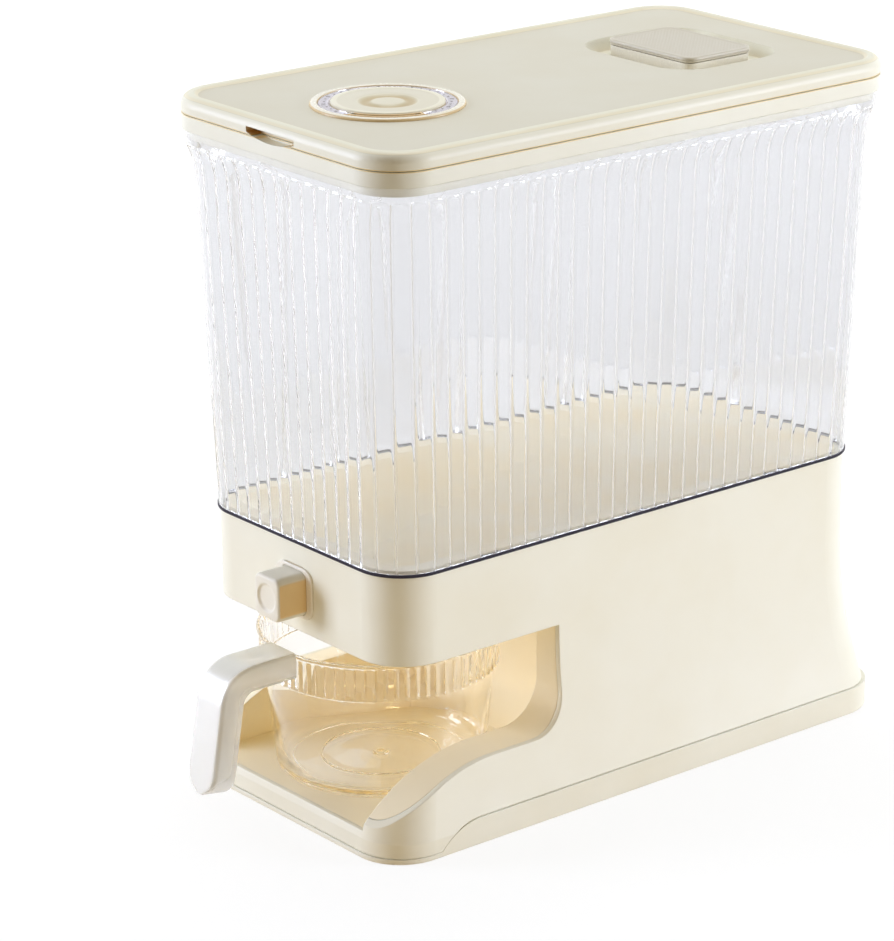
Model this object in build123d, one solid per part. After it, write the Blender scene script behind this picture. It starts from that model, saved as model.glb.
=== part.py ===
from build123d import *
import os
from math import ceil, cos, pi, radians, sin, sqrt

# A countertop rice dispenser: a flared base with a cup bay, a ribbed clear tank, and a hinged lid
# with a freshness dial and a lift-out moisture box.  Millimetres, +Z up.  The origin is the centre
# of the base's footprint on the standing plane.  The front, with button and cup, faces -Y.

# ---------------------------------------------------------------- body outline and base
body_width = 167.7          # base band, across X
body_depth = 331.3          # base band, along Y
body_corner = 27.3          # plan radius of the base band's corners
base_height = 152.3         # standing plane to the deck that carries the tank
shell_wall = 2.6
flare_start = 105.0         # height where the sides begin to curve outwards
flare_end = 11.2            # height where that curve meets the upright foot
flare_steps = 6             # outlines that the curve is drawn through
deck_width = 10.0           # inward ledge under the tank
deck_thickness = 2.5

# ---------------------------------------------------------------- bottom plate and feet
foot_width = 190.5
foot_depth = 356.0
foot_corner = 27.6
foot_lip = 0.9              # plate's edge past the shell's foot at the front and the rear
foot_gap = 1.0              # plate's underside above the standing plane, inside its standing rim
foot_rim_width = 5.0
plate_top = 3.2
plate_edge_round = 1.4
skirt_height = 15.4         # top of the skirt along the sides and the rear
skirt_wall = 2.4
skirt_end_y = -119.0        # where the skirt's top begins to curve down to the front
skirt_end_radius = 34.4
seam_gap = 0.2
pad_radius = 9.0
pad_thickness = 2.2
pad_pocket_gap = 0.3
pad_inset = 20.0            # pad's centre from the plate's side
pad_end_inset = 28.0        # pad's centre from the plate's ends
screw_radius = 1.5
screw_length = 14.0
screw_head_radius = 3.2
screw_head_height = 2.2
screw_hole_gap = 0.1
post_radius = 4.5
plate_boss_radius = 6.5
plate_boss_top = 5.4
shell_post_height = 62.0
shell_post_inset = 0.85     # post's centre inside the band's side
shell_post_y = (-15.0, 120.0)
liner_post_x = 79.0
liner_post_y = -105.0

# ---------------------------------------------------------------- cup bay
bay_half_width = 68.0
bay_floor = 15.0
bay_ceiling = 103.5
bay_rear = -38.0
liner_wall = 2.2
liner_gap = 0.15            # liner to the inside of the shell
window_top_of_wall = 47.5   # height of the low side wall
window_jamb_y = -59.0
window_jamb_round = 24.0    # corner at the bay's wall
window_outer_round = 19.0   # the same corner at the outer surface
window_drop_y = -105.0      # from here forward the wall's top drops along an arc
window_drop_radius = 100.0
window_draft = 4.5          # how much wider the window is at the shell than at the bay's wall

# ---------------------------------------------------------------- hopper, gate and chute
throat_y = -111.0
throat_length = 50.0        # across X
throat_width = 12.0         # along Y
throat_corner = 3.0
hopper_wall = 2.0
hopper_flange_inset = 4.2
hopper_mouth_inset = 10.3
valve_half_width = 38.0
valve_front_y = -144.5
valve_rear_y = -72.0
chute_plate_low = 115.6
chute_plate_thickness = 2.2
gate_thickness = 3.0
gate_gap = 0.2
gate_half_width = 31.7
gate_front_y = -139.0
gate_rear_y = -88.0
throat_plate_thickness = 2.0
chute_wall = 2.6
chute_bottom = 100.5
chute_hole_gap = 0.6
chute_screw_radius = 1.4
chute_screw_inset_x = 3.0
chute_screw_inset_y = 6.5

# ---------------------------------------------------------------- button
button_half_width = 10.7
button_low = 113.6
button_high = 137.6
button_corner = 4.5
button_face_y = -184.5
button_wall = 2.2
button_edge_round = 1.2
button_flange = 2.4
button_flange_thickness = 2.0
button_travel = 14.0
button_gap = 0.35
dimple_radius = 8.0
dimple_depth = 0.9
bezel_half_width = 15.6
bezel_overhang = 2.0        # bezel past the button, above and below
bezel_thickness = 1.2
bezel_corner = 7.0
bezel_sleeve_wall = 1.8
rod_half_width = 7.0
spring_radius = 4.6
spring_wire = 1.2
spring_turns = 8
spring_z = 129.0
spring_post_radius = 2.8
spring_post_length = 12.0
spring_bracket_thickness = 2.4
spring_bracket_half_width = 10.0
spring_bracket_top = 135.5

# ---------------------------------------------------------------- tank
tank_wall = 2.4
gasket_height = 1.2
gasket_width = 1.75
tank_foot_overhang = 0.75   # tank past the base band at its foot
tank_spread = 5.45          # how much further the wall leans out, each side
tank_shoulder_z = 335.0     # where the lean ends and the lip flares
tank_lip_z = 352.0
tank_top = 358.4
tank_lip_setback = 1.0      # lip inside the lid's outline
tank_corner = 27.0
flute_count_side = 28
flute_count_front = 12
flute_count_corner = 3
flute_depth = 0.9
flute_radius = 1.6
flute_overrun = 0.03        # share of its length that a groove's cut runs on below the tank
tab_width = 12.0
tab_thickness = 2.0
tab_depth = 8.0
tab_rise = 2.0
tab_gap = 0.4
tab_overlap = 0.35
tab_y = (-100.0, 0.0, 100.0)

# ---------------------------------------------------------------- lid frame and lid
lid_width = 190.0
lid_depth = 350.5
lid_corner = 26.7
frame_top = 366.6
frame_wall = 2.4
mouth_inset = 16.0          # fill opening inside the lid's outline
collar_gap = 0.4
collar_low = 353.4
lid_low = 367.0
lid_top = 376.0
lid_wall = 2.4
panel_top = 374.6
panel_thickness = 2.2
rim_round = 5.5
rim_inner = 6.6             # inner edge of the rim's crest, from the outline
panel_inset = 9.2           # foot of the rim's inner slope, from the outline
plug_inset = 18.0
plug_wall = 2.0
plug_low = 361.0
seal_gap = 0.3
seal_low = 362.5
seal_high = 365.5
scoop_half_width = 20.0
scoop_high = 371.0
scoop_end = 368.2
scoop_low = 365.2
scoop_depth = 6.5
scoop_back_wall = 2.0

# ---------------------------------------------------------------- hinge
hinge_setback = 4.7         # axis inside the lid's rear face
hinge_z = 371.6
hinge_pin_radius = 1.5
hinge_pin_gap = 0.05
hinge_head_radius = 2.6
hinge_neck_half = 1.7
hinge_clearance = 0.35
lug_x = 54.0
lug_width = 8.0
knuckle_width = 4.5

# ---------------------------------------------------------------- dial
dial_y = -100.4
dial_outer = 40.1
dial_bezel_width = 4.2
dial_bezel_top = 376.3
dial_recess = 1.2
dial_plate_thickness = 0.9
dial_window_inner = 30.2
dial_window_low = 374.6
dial_window_top = 375.8
knob_radius = 29.6
knob_base = 374.6
knob_top = 376.8
knob_ring_outer = 17.0
knob_ring_inner = 13.0
knob_rim_width = 3.0
knob_centre_radius = 8.0    # flat floor of the dished centre
knob_dish = 1.1
spindle_radius = 3.0
spindle_gap = 0.08
spindle_low = 368.4
clip_radius = 6.0
clip_thickness = 1.2
part_gap = 0.2

# ---------------------------------------------------------------- moisture box
dish_y = 100.4
dish_width = 92.0
dish_depth = 80.0
dish_corner = 22.0
dish_floor = 368.6
dish_wall = 2.0
dish_draft = 5.0
cap_width = 68.4
cap_depth = 48.0
cap_corner = 7.0
cap_low = 374.8
cap_top = 378.0
cap_edge_round = 1.0
box_inset = 5.0             # box walls inside the cap's outline
box_wall = 1.6
box_low = 346.0
box_gap = 0.4
cap_grid_count_x = 15
cap_grid_count_y = 10
cap_grid_pitch = 4.0
cap_grid_slot = 2.6
cap_grid_depth = 0.7
pack_height = 14.0
pack_gap = 1.5
box_vent_count = 6
box_vent_pitch = 8.0
box_vent_width = 2.0

# ---------------------------------------------------------------- measuring cup
cup_y = -111.0
cup_rim_radius = 65.4
cup_rim_z = 94.5
cup_rim_height = 2.4
cup_band_radius = 64.2
cup_band_low = 73.0
cup_body_radius = 62.2
cup_foot_radius = 56.4
cup_foot_round = 5.0
cup_wall = 2.2
cup_floor_thickness = 2.6
cup_foot_ring_radius = 50.0
cup_foot_ring_height = 1.2
cup_ring_radius = 31.4
cup_ring_width = 1.6
cup_ring_height = 0.8
cup_boss_radius = 5.0
cup_stand_gap = 0.05
cup_flute_count = 72
cup_flute_radius = 0.9
handle_half_width = 12.0
handle_top = 95.6
handle_bend_y = -207.0
handle_bend_radius = 15.0
handle_tip_y = -230.5
handle_tip_z = 28.5
handle_web = 2.8
handle_flange_depth = 11.0
handle_flange_wall = 2.4

# ---------------------------------------------------------------- derived places
half_band_y = body_depth / 2
flare_x = (foot_width - body_width) / 2
flare_y = (foot_depth - body_depth) / 2 - foot_lip
front_face_y = -half_band_y
front_inner_y = front_face_y + shell_wall
gasket_top = base_height + gasket_height
gate_low = chute_plate_low + chute_plate_thickness + gate_gap
gate_high = gate_low + gate_thickness
throat_plate_low = gate_high + gate_gap
throat_plate_high = throat_plate_low + throat_plate_thickness
hinge_y = lid_depth / 2 - hinge_setback
button_z = (button_low + button_high) / 2
far = 400.0                 # cutting tools reach past the object by this much


# ================================================================ shared forms
def block(x_low, x_high, y_low, y_high, z_low, z_high):
    """A box between two corners."""
    centre = ((x_low + x_high) / 2, (y_low + y_high) / 2, (z_low + z_high) / 2)
    return Pos(*centre) * Box(x_high - x_low, y_high - y_low, z_high - z_low)


def post(x, y, radius, z_low, z_high):
    """An upright cylinder."""
    return Pos(x, y, (z_low + z_high) / 2) * Cylinder(radius, z_high - z_low)


def slab(width, depth, corner, z_low, z_high, y=0.0):
    """An upright prism on a rounded rectangle."""
    return extrude(Pos(0, y, z_low) * RectangleRounded(width, depth, corner), z_high - z_low)


def upright_face(points_and_curves):
    """A face in the XZ plane from its closed chain of edges."""
    return make_face(Wire(points_and_curves))


def chain(points):
    """Straight edges between (x, z) points in the XZ plane."""
    spots = [Vector(x, 0, z) for x, z in points]
    return [Line(a, b) for a, b in zip(spots, spots[1:])]


def swept(section, width, depth, corner):
    """Carry a section round a rounded rectangle; the section's X runs outwards from the outline."""
    half_x = width / 2 - corner
    half_y = depth / 2 - corner
    turned = revolve(Pos(corner, 0, 0) * section, Axis.Z, 90)
    pieces = []
    for turn, x, y in ((0, 1, 1), (90, -1, 1), (180, -1, -1), (270, 1, -1)):
        pieces.append(Pos(x * half_x, y * half_y, 0) * Rot(0, 0, turn) * turned)
    for turn, reach, run in ((0, width / 2, half_y), (90, depth / 2, half_x)):
        side = extrude(Pos(reach, -run, 0) * section, 2 * run, dir=(0, 1, 0))
        pieces.append(Rot(0, 0, turn) * side)
        pieces.append(Rot(0, 0, turn + 180) * side)
    return pieces[0] + pieces[1:]


def base_outline(inset, z):
    """The base's outline at a height, moved in by an inset."""
    fall = max(flare_start - z, 0) / (flare_start - flare_end)
    width = body_width + 2 * (flare_x * fall**2 - inset)
    depth = body_depth + 2 * (flare_y * fall**2 - inset)
    return Pos(0, 0, z) * RectangleRounded(width, depth, body_corner - inset)


def base_form(inset, z_low, z_high):
    """The base's solid outer form, moved in by an inset: straight band, concave flare, short foot."""
    rise = (flare_start - flare_end) / flare_steps
    flare = loft([base_outline(inset, flare_end + step * rise) for step in range(flare_steps + 1)])
    foot = extrude(base_outline(inset, flare_end), z_low - flare_end)
    band = extrude(base_outline(inset, flare_start), z_high - flare_start)
    return foot + flare + band


def side_face(edges):
    """A face in the YZ plane, from edges given in (y, z)."""
    return make_face(Wire(edges))


def side_chain(points):
    """Straight edges between (y, z) points in the YZ plane."""
    spots = [Vector(0, y, z) for y, z in points]
    return [Line(a, b) for a, b in zip(spots, spots[1:])]


def window_face(grow, turn, x):
    """The side window's outline with its corner radius, moved outwards by grow and placed at x."""
    low = window_top_of_wall - grow
    jamb = window_jamb_y + grow
    drop = window_drop_radius - grow
    centre_z = window_top_of_wall - window_drop_radius
    front = -half_band_y - flare_y - 12
    run = window_drop_y - front
    high = bay_ceiling + far / 4

    def on_drop(along):
        return Vector(0, window_drop_y - along, centre_z + sqrt(drop**2 - along**2))

    corner_mid = Vector(0, jamb - turn * (1 - sin(radians(45))), low + turn * (1 - cos(radians(45))))
    edges = [
        ThreePointArc(on_drop(run), on_drop(run / 2), on_drop(0)),
        Line(on_drop(0), Vector(0, jamb - turn, low)),
        ThreePointArc(Vector(0, jamb - turn, low), corner_mid, Vector(0, jamb, low + turn)),
        Line(Vector(0, jamb, low + turn), Vector(0, jamb, high)),
        Line(Vector(0, jamb, high), Vector(0, front, high)),
        Line(Vector(0, front, high), on_drop(run)),
    ]
    return Pos(x, 0, 0) * side_face(edges)


def bay_space(grow):
    """The open cup bay with its two side windows, moved outwards by grow."""
    front = -half_band_y - flare_y - 12
    width = bay_half_width + grow
    space = block(-width, width, front, bay_rear + grow, bay_floor - grow, bay_ceiling + grow)
    outer_x = body_width / 2 + flare_x + 4
    under_ceiling = block(-far, far, -far, far, 0, bay_ceiling + grow)
    for side in (-1, 1):
        inner_face = window_face(grow, window_jamb_round + grow, side * (bay_half_width - 1))
        outer_face = window_face(grow + window_draft, window_outer_round + grow, side * outer_x)
        space += loft([inner_face, outer_face], ruled=True) & under_ceiling
    return space


def skirt_zone(gap):
    """Everything at the sides and the rear that the bottom plate's skirt covers, plus a gap."""
    radius = skirt_end_radius + gap
    top = skirt_height + gap
    low = plate_top - 2 * seam_gap
    drop = skirt_height - skirt_end_radius

    def on_curve(z):
        return Vector(0, skirt_end_y - sqrt(radius**2 - (z - drop) ** 2), z)

    middle = Vector(0, skirt_end_y - radius * sin(radians(24)), drop + radius * cos(radians(24)))
    edges = [ThreePointArc(on_curve(low), middle, Vector(0, skirt_end_y, top))]
    edges += side_chain([(skirt_end_y, top), (foot_depth, top), (foot_depth, low)])
    edges.append(Line(Vector(0, foot_depth, low), on_curve(low)))
    return extrude(Pos(-far / 2, 0, 0) * side_face(edges), far, dir=(1, 0, 0))


def plate_screw_spots():
    """Centres of the screws that hold the bottom plate: four in the shell, two in the liner."""
    x = body_width / 2 - shell_post_inset
    spots = [(side * x, y) for side in (-1, 1) for y in shell_post_y]
    return spots + [(side * liner_post_x, liner_post_y) for side in (-1, 1)]


# ================================================================ base
def make_base_shell():
    outer = base_form(0, plate_top + seam_gap, base_height)
    inner = base_form(shell_wall, 0, base_height - deck_thickness)
    shell = outer - inner
    x = body_width / 2 - shell_post_inset
    posts = [
        post(side * x, y, post_radius, plate_boss_top + seam_gap / 2, shell_post_height)
        for side in (-1, 1)
        for y in shell_post_y
    ]
    skin = base_form(shell_wall / 2, 0, base_height)
    shell += [leg & skin for leg in posts]
    shell -= slab(
        body_width - 2 * deck_width,
        body_depth - 2 * deck_width,
        body_corner - deck_width,
        base_height - 2 * deck_thickness,
        base_height + 1,
    )
    shell -= bay_space(0)
    shell -= skirt_zone(seam_gap) - base_form(2 * shell_wall, 0, base_height)
    for side_x, y in plate_screw_spots()[: 2 * len(shell_post_y)]:
        shell -= post(side_x, y, screw_radius + screw_hole_gap, 0, screw_length + foot_gap + 6)
    shell -= bezel_sleeve(bezel_sleeve_wall + part_gap, front_face_y - 5, front_inner_y + 5)
    for slot in tab_blocks(tab_gap):
        shell -= slot
    right = shell & block(0, far, -far, far, 0, far)
    return right + mirror(right, Plane.YZ)


def make_bay_liner():
    liner = bay_space(liner_wall) - bay_space(0)
    liner = liner & base_form(shell_wall + liner_gap, plate_top, base_height)
    leg_low = plate_boss_top + seam_gap / 2
    hole_top = screw_length + foot_gap + 6
    above_legs = bay_space(liner_wall / 2)
    for side in (-1, 1):
        x = side * liner_post_x
        liner += post(x, liner_post_y, post_radius, leg_low, window_top_of_wall) - above_legs
        liner -= post(x, liner_post_y, screw_radius + screw_hole_gap, 0, hole_top)
    liner -= slab(
        throat_length + 2 * (chute_wall + chute_hole_gap),
        throat_width + 2 * (chute_wall + chute_hole_gap),
        throat_corner + chute_wall + chute_hole_gap,
        bay_ceiling - 5,
        bay_ceiling + liner_wall + 5,
        throat_y,
    )
    return liner


def make_bottom_plate():
    plate = slab(foot_width, foot_depth, foot_corner, 0, plate_top)
    plate = fillet(plate.edges().group_by(Axis.Z)[0], plate_edge_round)
    plate -= slab(
        foot_width - 2 * foot_rim_width,
        foot_depth - 2 * foot_rim_width,
        foot_corner - foot_rim_width,
        -1,
        foot_gap,
    )
    skirt = slab(foot_width, foot_depth, foot_corner, plate_top, skirt_height)
    skirt -= slab(
        foot_width - 2 * skirt_wall,
        foot_depth - 2 * skirt_wall,
        foot_corner - skirt_wall,
        0,
        skirt_height + 1,
    )
    plate += skirt & skirt_zone(0)
    for x, y in plate_screw_spots():
        plate += post(x, y, plate_boss_radius, foot_gap, plate_boss_top) & slab(
            foot_width - skirt_wall, foot_depth, foot_corner, foot_gap, plate_boss_top
        )
    for x, y in plate_screw_spots():
        plate -= post(x, y, screw_head_radius + part_gap, 0, foot_gap + screw_head_height)
        plate -= post(x, y, screw_radius + part_gap, 0, skirt_height + 1)
    for x, y in pad_spots():
        plate -= post(x, y, pad_radius + pad_pocket_gap, 0, pad_thickness)
    return plate


def pad_spots():
    x = foot_width / 2 - pad_inset
    y = foot_depth / 2 - pad_end_inset
    return [(side * x, end * y) for side in (-1, 1) for end in (-1, 1)]


def make_foot_pads():
    return [post(x, y, pad_radius, 0, pad_thickness) for x, y in pad_spots()]


def make_base_screws():
    top = foot_gap + screw_head_height
    screws = []
    for x, y in plate_screw_spots():
        head = post(x, y, screw_head_radius, foot_gap + seam_gap, top)
        screws.append(head + post(x, y, screw_radius, top, top + screw_length))
    return screws


# ================================================================ dispensing valve
def throat_prism(grow, z_low, z_high, y=throat_y):
    return slab(throat_length + 2 * grow, throat_width + 2 * grow, throat_corner + grow, z_low, z_high, y)


def mouth_sketch(inset, z):
    width = body_width - 2 * inset
    depth = body_depth - 2 * inset
    return Pos(0, 0, z) * RectangleRounded(width, depth, body_corner - inset)


def throat_sketch(grow, z):
    width = throat_length + 2 * grow
    depth = throat_width + 2 * grow
    return Pos(0, throat_y, z) * RectangleRounded(width, depth, throat_corner + grow)


def make_hopper():
    flange_top = base_height + hopper_wall
    hopper = slab(
        body_width - 2 * hopper_flange_inset,
        body_depth - 2 * hopper_flange_inset,
        body_corner - hopper_flange_inset,
        base_height,
        flange_top,
    )
    mouth = mouth_sketch(hopper_mouth_inset, base_height)
    hopper += loft([mouth, throat_sketch(hopper_wall, throat_plate_high)], ruled=True)
    hopper += block(
        -valve_half_width, valve_half_width, valve_front_y, valve_rear_y, throat_plate_low, throat_plate_high
    )
    inner_mouth = mouth_sketch(hopper_mouth_inset + hopper_wall, flange_top)
    hopper -= loft([inner_mouth, throat_sketch(0, throat_plate_high)], ruled=True)
    hopper -= throat_prism(0, throat_plate_low - 1, throat_plate_high + 1)
    bracket = block(
        -spring_bracket_half_width,
        spring_bracket_half_width,
        valve_front_y,
        valve_front_y + spring_bracket_thickness,
        throat_plate_low,
        spring_bracket_top,
    )
    peg = Pos(0, valve_front_y - spring_post_length / 2, spring_z) * Rot(90, 0, 0) * Cylinder(
        spring_post_radius, spring_post_length
    )
    hopper += [bracket, peg]
    for x, y in chute_screw_spots():
        hopper -= post(x, y, chute_screw_radius + screw_hole_gap, 0, throat_plate_high + 1)
    return hopper


def chute_screw_spots():
    x = valve_half_width - chute_screw_inset_x
    ends = (valve_front_y + chute_screw_inset_y, valve_rear_y - chute_screw_inset_y)
    return [(side * x, y) for side in (-1, 1) for y in ends]


def make_outlet_chute():
    plate_high = chute_plate_low + chute_plate_thickness
    rail_high = throat_plate_low - seam_gap / 2
    half = valve_half_width
    chute = block(-half, half, valve_front_y, valve_rear_y, chute_plate_low, rail_high)
    channel = gate_half_width + part_gap
    chute -= block(-channel, channel, valve_front_y - 1, valve_rear_y + 1, plate_high, rail_high + 1)
    chute += throat_prism(chute_wall, chute_bottom, chute_plate_low)
    chute -= throat_prism(0, chute_bottom - 1, plate_high + 1)
    for x, y in chute_screw_spots():
        chute -= post(x, y, chute_screw_radius + screw_hole_gap, 0, throat_plate_low + 1)
    return chute


def make_chute_screws():
    screws = []
    for x, y in chute_screw_spots():
        head = post(x, y, 2 * chute_screw_radius, chute_plate_low - chute_screw_radius, chute_plate_low)
        screws.append(head + post(x, y, chute_screw_radius, chute_plate_low, throat_plate_high))
    return screws


def make_gate_slide():
    gate = block(-gate_half_width, gate_half_width, gate_front_y, gate_rear_y, gate_low, gate_high)
    gate += block(
        -rod_half_width, rod_half_width, button_face_y + button_wall, gate_front_y, gate_low, gate_high
    )
    return gate - throat_prism(0, gate_low - 1, gate_high + 1, throat_y - button_travel)


# ================================================================ button
def front_prism(half_width, z_low, z_high, corner, y_low, y_high):
    """A prism along Y on a rounded rectangle in the front plane."""
    plane = Plane(origin=(0, y_high, (z_low + z_high) / 2), x_dir=(1, 0, 0), z_dir=(0, -1, 0))
    return extrude(plane * RectangleRounded(2 * half_width, z_high - z_low, corner), y_high - y_low)


def bezel_sleeve(wall, y_low, y_high):
    """The sleeve's outer form round the button, with a given wall."""
    grow = button_gap + wall
    return front_prism(
        button_half_width + grow, button_low - grow, button_high + grow, button_corner + grow, y_low, y_high
    )


def make_push_button():
    root = front_inner_y + part_gap
    button = front_prism(button_half_width, button_low, button_high, button_corner, button_face_y, root)
    button = fillet(button.edges().group_by(Axis.Y)[0], button_edge_round)
    button += front_prism(
        button_half_width + button_flange,
        button_low - button_flange,
        button_high + button_flange,
        button_corner + button_flange,
        root,
        root + button_flange_thickness,
    )
    button -= front_prism(
        button_half_width - button_wall,
        button_low + button_wall,
        button_high - button_wall,
        button_corner - button_wall,
        button_face_y + button_wall,
        root + button_flange_thickness + 1,
    )
    ball = (dimple_radius**2 + dimple_depth**2) / (2 * dimple_depth)
    button -= Pos(0, button_face_y + dimple_depth - ball, button_z) * Sphere(ball)
    return button


def make_button_bezel():
    bezel = front_prism(
        bezel_half_width,
        button_low - bezel_overhang,
        button_high + bezel_overhang,
        bezel_corner,
        front_face_y - bezel_thickness,
        front_face_y,
    )
    bezel = fillet(bezel.edges().group_by(Axis.Y)[0], bezel_thickness / 2)
    bezel += bezel_sleeve(bezel_sleeve_wall, front_face_y, front_inner_y)
    return bezel - bezel_sleeve(0, front_face_y - 5, front_inner_y + 5)


def make_return_spring():
    """A compression coil between the button's inside and the bracket, swept quarter turn by quarter turn."""
    start = button_face_y + button_wall + spring_wire / 2
    end = valve_front_y - spring_wire / 2
    quarters = 4 * spring_turns
    rise = (end - start) / quarters
    gap = 4 * rise - spring_wire
    print("return spring: least gap between turns", round(gap, 2), "mm")

    def spot(step):
        angle = radians(90 * step)
        return Vector(spring_radius * cos(angle), start + rise * step, spring_z + spring_radius * sin(angle))

    path = Wire([Spline([spot(k / 4) for k in range(4 * quarters + 1)])])
    section = Plane(origin=spot(0), z_dir=path % 0) * Circle(spring_wire / 2)
    return sweep(section, path)


# ================================================================ tank
def tank_outline(z):
    """Tank's outer width, depth and corner radius at a height."""
    foot_w = body_width + 2 * tank_foot_overhang
    foot_d = body_depth + 2 * tank_foot_overhang
    if z <= tank_shoulder_z:
        lean = 2 * tank_spread * (z - gasket_top) / (tank_shoulder_z - gasket_top)
        return foot_w + lean, foot_d + lean, tank_corner
    lip_w = lid_width - 2 * tank_lip_setback
    lip_d = lid_depth - 2 * tank_lip_setback
    if z >= tank_lip_z:
        return lip_w, lip_d, lid_corner - tank_lip_setback
    turn = 1 - cos(radians(90) * (z - tank_shoulder_z) / (tank_lip_z - tank_shoulder_z))
    wide_w = foot_w + 2 * tank_spread
    wide_d = foot_d + 2 * tank_spread
    corner = tank_corner + (lid_corner - tank_lip_setback - tank_corner) * turn
    return wide_w + (lip_w - wide_w) * turn, wide_d + (lip_d - wide_d) * turn, corner


def tank_form(inset):
    """The tank's outer form, moved in by an inset."""
    steps = 4
    levels = [gasket_top]
    levels += [tank_shoulder_z + (tank_lip_z - tank_shoulder_z) * k / steps for k in range(steps + 1)]
    levels.append(tank_top)
    sections = []
    for z in levels:
        width, depth, corner = tank_outline(z)
        sketch = RectangleRounded(width - 2 * inset, depth - 2 * inset, corner - inset)
        sections.append(Pos(0, 0, z) * sketch)
    return loft(sections, ruled=True)


def flute_spots(z):
    """Places of the tank's grooves on its outline at a height, each with its outward direction."""
    width, depth, corner = tank_outline(z)
    spots = []
    for turn in range(4):
        sizes = (width, depth, flute_count_side) if turn % 2 == 0 else (depth, width, flute_count_front)
        reach, run, count = sizes[0] / 2, sizes[1] / 2 - corner, sizes[2]
        outward = Vector(1, 0, 0)
        for k in range(count + 1):
            spots.append((Vector(reach, run * (2 * k / count - 1), z), outward, 90 * turn))
        for k in range(flute_count_corner):
            outward = Vector(1, 0, 0).rotate(Axis.Z, 90 * (k + 1) / (flute_count_corner + 1))
            spots.append((Vector(reach - corner, run, z) + outward * corner, outward, 90 * turn))
    return spots


def flute_cuts():
    """Upright grooves between the tank's ribs, leaning with its walls."""
    cuts = []
    out = flute_radius - flute_depth
    for (foot, outward, turn), (head, _, _) in zip(flute_spots(gasket_top), flute_spots(tank_shoulder_z)):
        lean = head - foot
        low = foot + outward * out - lean * flute_overrun
        high = head + outward * out
        rod = extrude(Plane(origin=low, z_dir=lean) * Circle(flute_radius), (high - low).length)
        rod += Pos(*high) * Sphere(flute_radius)
        cuts.append(Rot(0, 0, turn) * rod)
    return cuts


def tab_blocks(gap):
    """Tabs under the tank's long sides that hold it in the base's deck, grown by a gap."""
    outer = body_width / 2 + tank_foot_overhang - tank_wall + tab_overlap + gap
    inner = outer - tab_thickness - 2 * gap
    low = base_height - tab_depth
    high = gasket_top + tab_rise
    blocks = []
    for y in tab_y:
        for side in (-1, 1):
            ends = sorted((side * inner, side * outer))
            blocks.append(block(*ends, y - tab_width / 2 - gap, y + tab_width / 2 + gap, low, high))
    return blocks


def make_tank():
    tank = tank_form(0) - tank_form(tank_wall)
    tank -= flute_cuts()
    return tank + tab_blocks(0)


def make_tank_gasket():
    outer = tank_foot_overhang - 0.3
    gasket = slab(
        body_width + 2 * outer, body_depth + 2 * outer, body_corner + outer, base_height, gasket_top
    )
    inset = gasket_width - outer
    return gasket - slab(
        body_width - 2 * inset, body_depth - 2 * inset, body_corner - inset, base_height - 1, gasket_top + 1
    )


# ================================================================ lid frame
def lid_slab(inset, z_low, z_high):
    return slab(lid_width - 2 * inset, lid_depth - 2 * inset, lid_corner - inset, z_low, z_high)


def scoop_cut():
    """The finger scoop in the front of the lid and its frame."""
    y_front = -lid_depth / 2 - 5
    edges = chain([(-scoop_half_width, scoop_end), (-scoop_half_width, scoop_high)])
    edges += chain([(-scoop_half_width, scoop_high), (scoop_half_width, scoop_high)])
    edges += chain([(scoop_half_width, scoop_high), (scoop_half_width, scoop_end)])
    edges.append(
        ThreePointArc(
            Vector(scoop_half_width, 0, scoop_end),
            Vector(0, 0, scoop_low),
            Vector(-scoop_half_width, 0, scoop_end),
        )
    )
    return extrude(Pos(0, y_front, 0) * upright_face(edges), scoop_depth + 5, dir=(0, 1, 0))


def hinge_rod(radius, x_low, x_high):
    """A cylinder on the hinge's axis."""
    middle = (x_low + x_high) / 2
    return Pos(middle, hinge_y, hinge_z) * Rot(0, 90, 0) * Cylinder(radius, x_high - x_low)


def make_lid_frame():
    frame = lid_slab(0, tank_top, frame_top) - lid_slab(frame_wall, tank_top - 1, frame_top - frame_wall)
    collar_out = tank_lip_setback + tank_wall + collar_gap
    collar = lid_slab(collar_out, collar_low, frame_top)
    collar -= lid_slab(collar_out + frame_wall, 0, frame_top + 1)
    frame += collar
    frame -= lid_slab(mouth_inset, 0, frame_top + 1)
    for side in (-1, 1):
        low, high = sorted((side * (lug_x - lug_width / 2), side * (lug_x + lug_width / 2)))
        frame += block(
            low, high, hinge_y - hinge_neck_half, hinge_y + hinge_neck_half, frame_top - 1, hinge_z
        )
        frame += hinge_rod(hinge_head_radius, low, high)
        frame -= hinge_rod(hinge_pin_radius, low - 1, high + 1)
    return frame - scoop_cut()


def make_hinge_pins():
    half = lug_width / 2 + knuckle_width
    return [hinge_rod(hinge_pin_radius, side * lug_x - half, side * lug_x + half) for side in (-1, 1)]


# ================================================================ lid
def lid_section():
    """The lid's edge: upright skirt, rounded rim, inner slope down to the panel, and its underside."""
    under = panel_top - panel_thickness
    crest = rim_round
    bulge = rim_round * (1 - cos(radians(45)))
    edges = chain(
        [
            (-lid_corner, under),
            (-lid_corner, panel_top),
            (-panel_inset, panel_top),
            (-rim_inner, lid_top),
            (-crest, lid_top),
        ]
    )
    edges.append(
        ThreePointArc(
            Vector(-crest, 0, lid_top),
            Vector(-bulge, 0, lid_top - bulge),
            Vector(0, 0, lid_top - rim_round),
        )
    )
    edges += chain(
        [
            (0, lid_top - rim_round),
            (0, lid_low),
            (-lid_wall, lid_low),
            (-lid_wall, under - lid_wall / 2),
            (-panel_inset, under),
            (-lid_corner, under),
        ]
    )
    return upright_face(edges)


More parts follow.
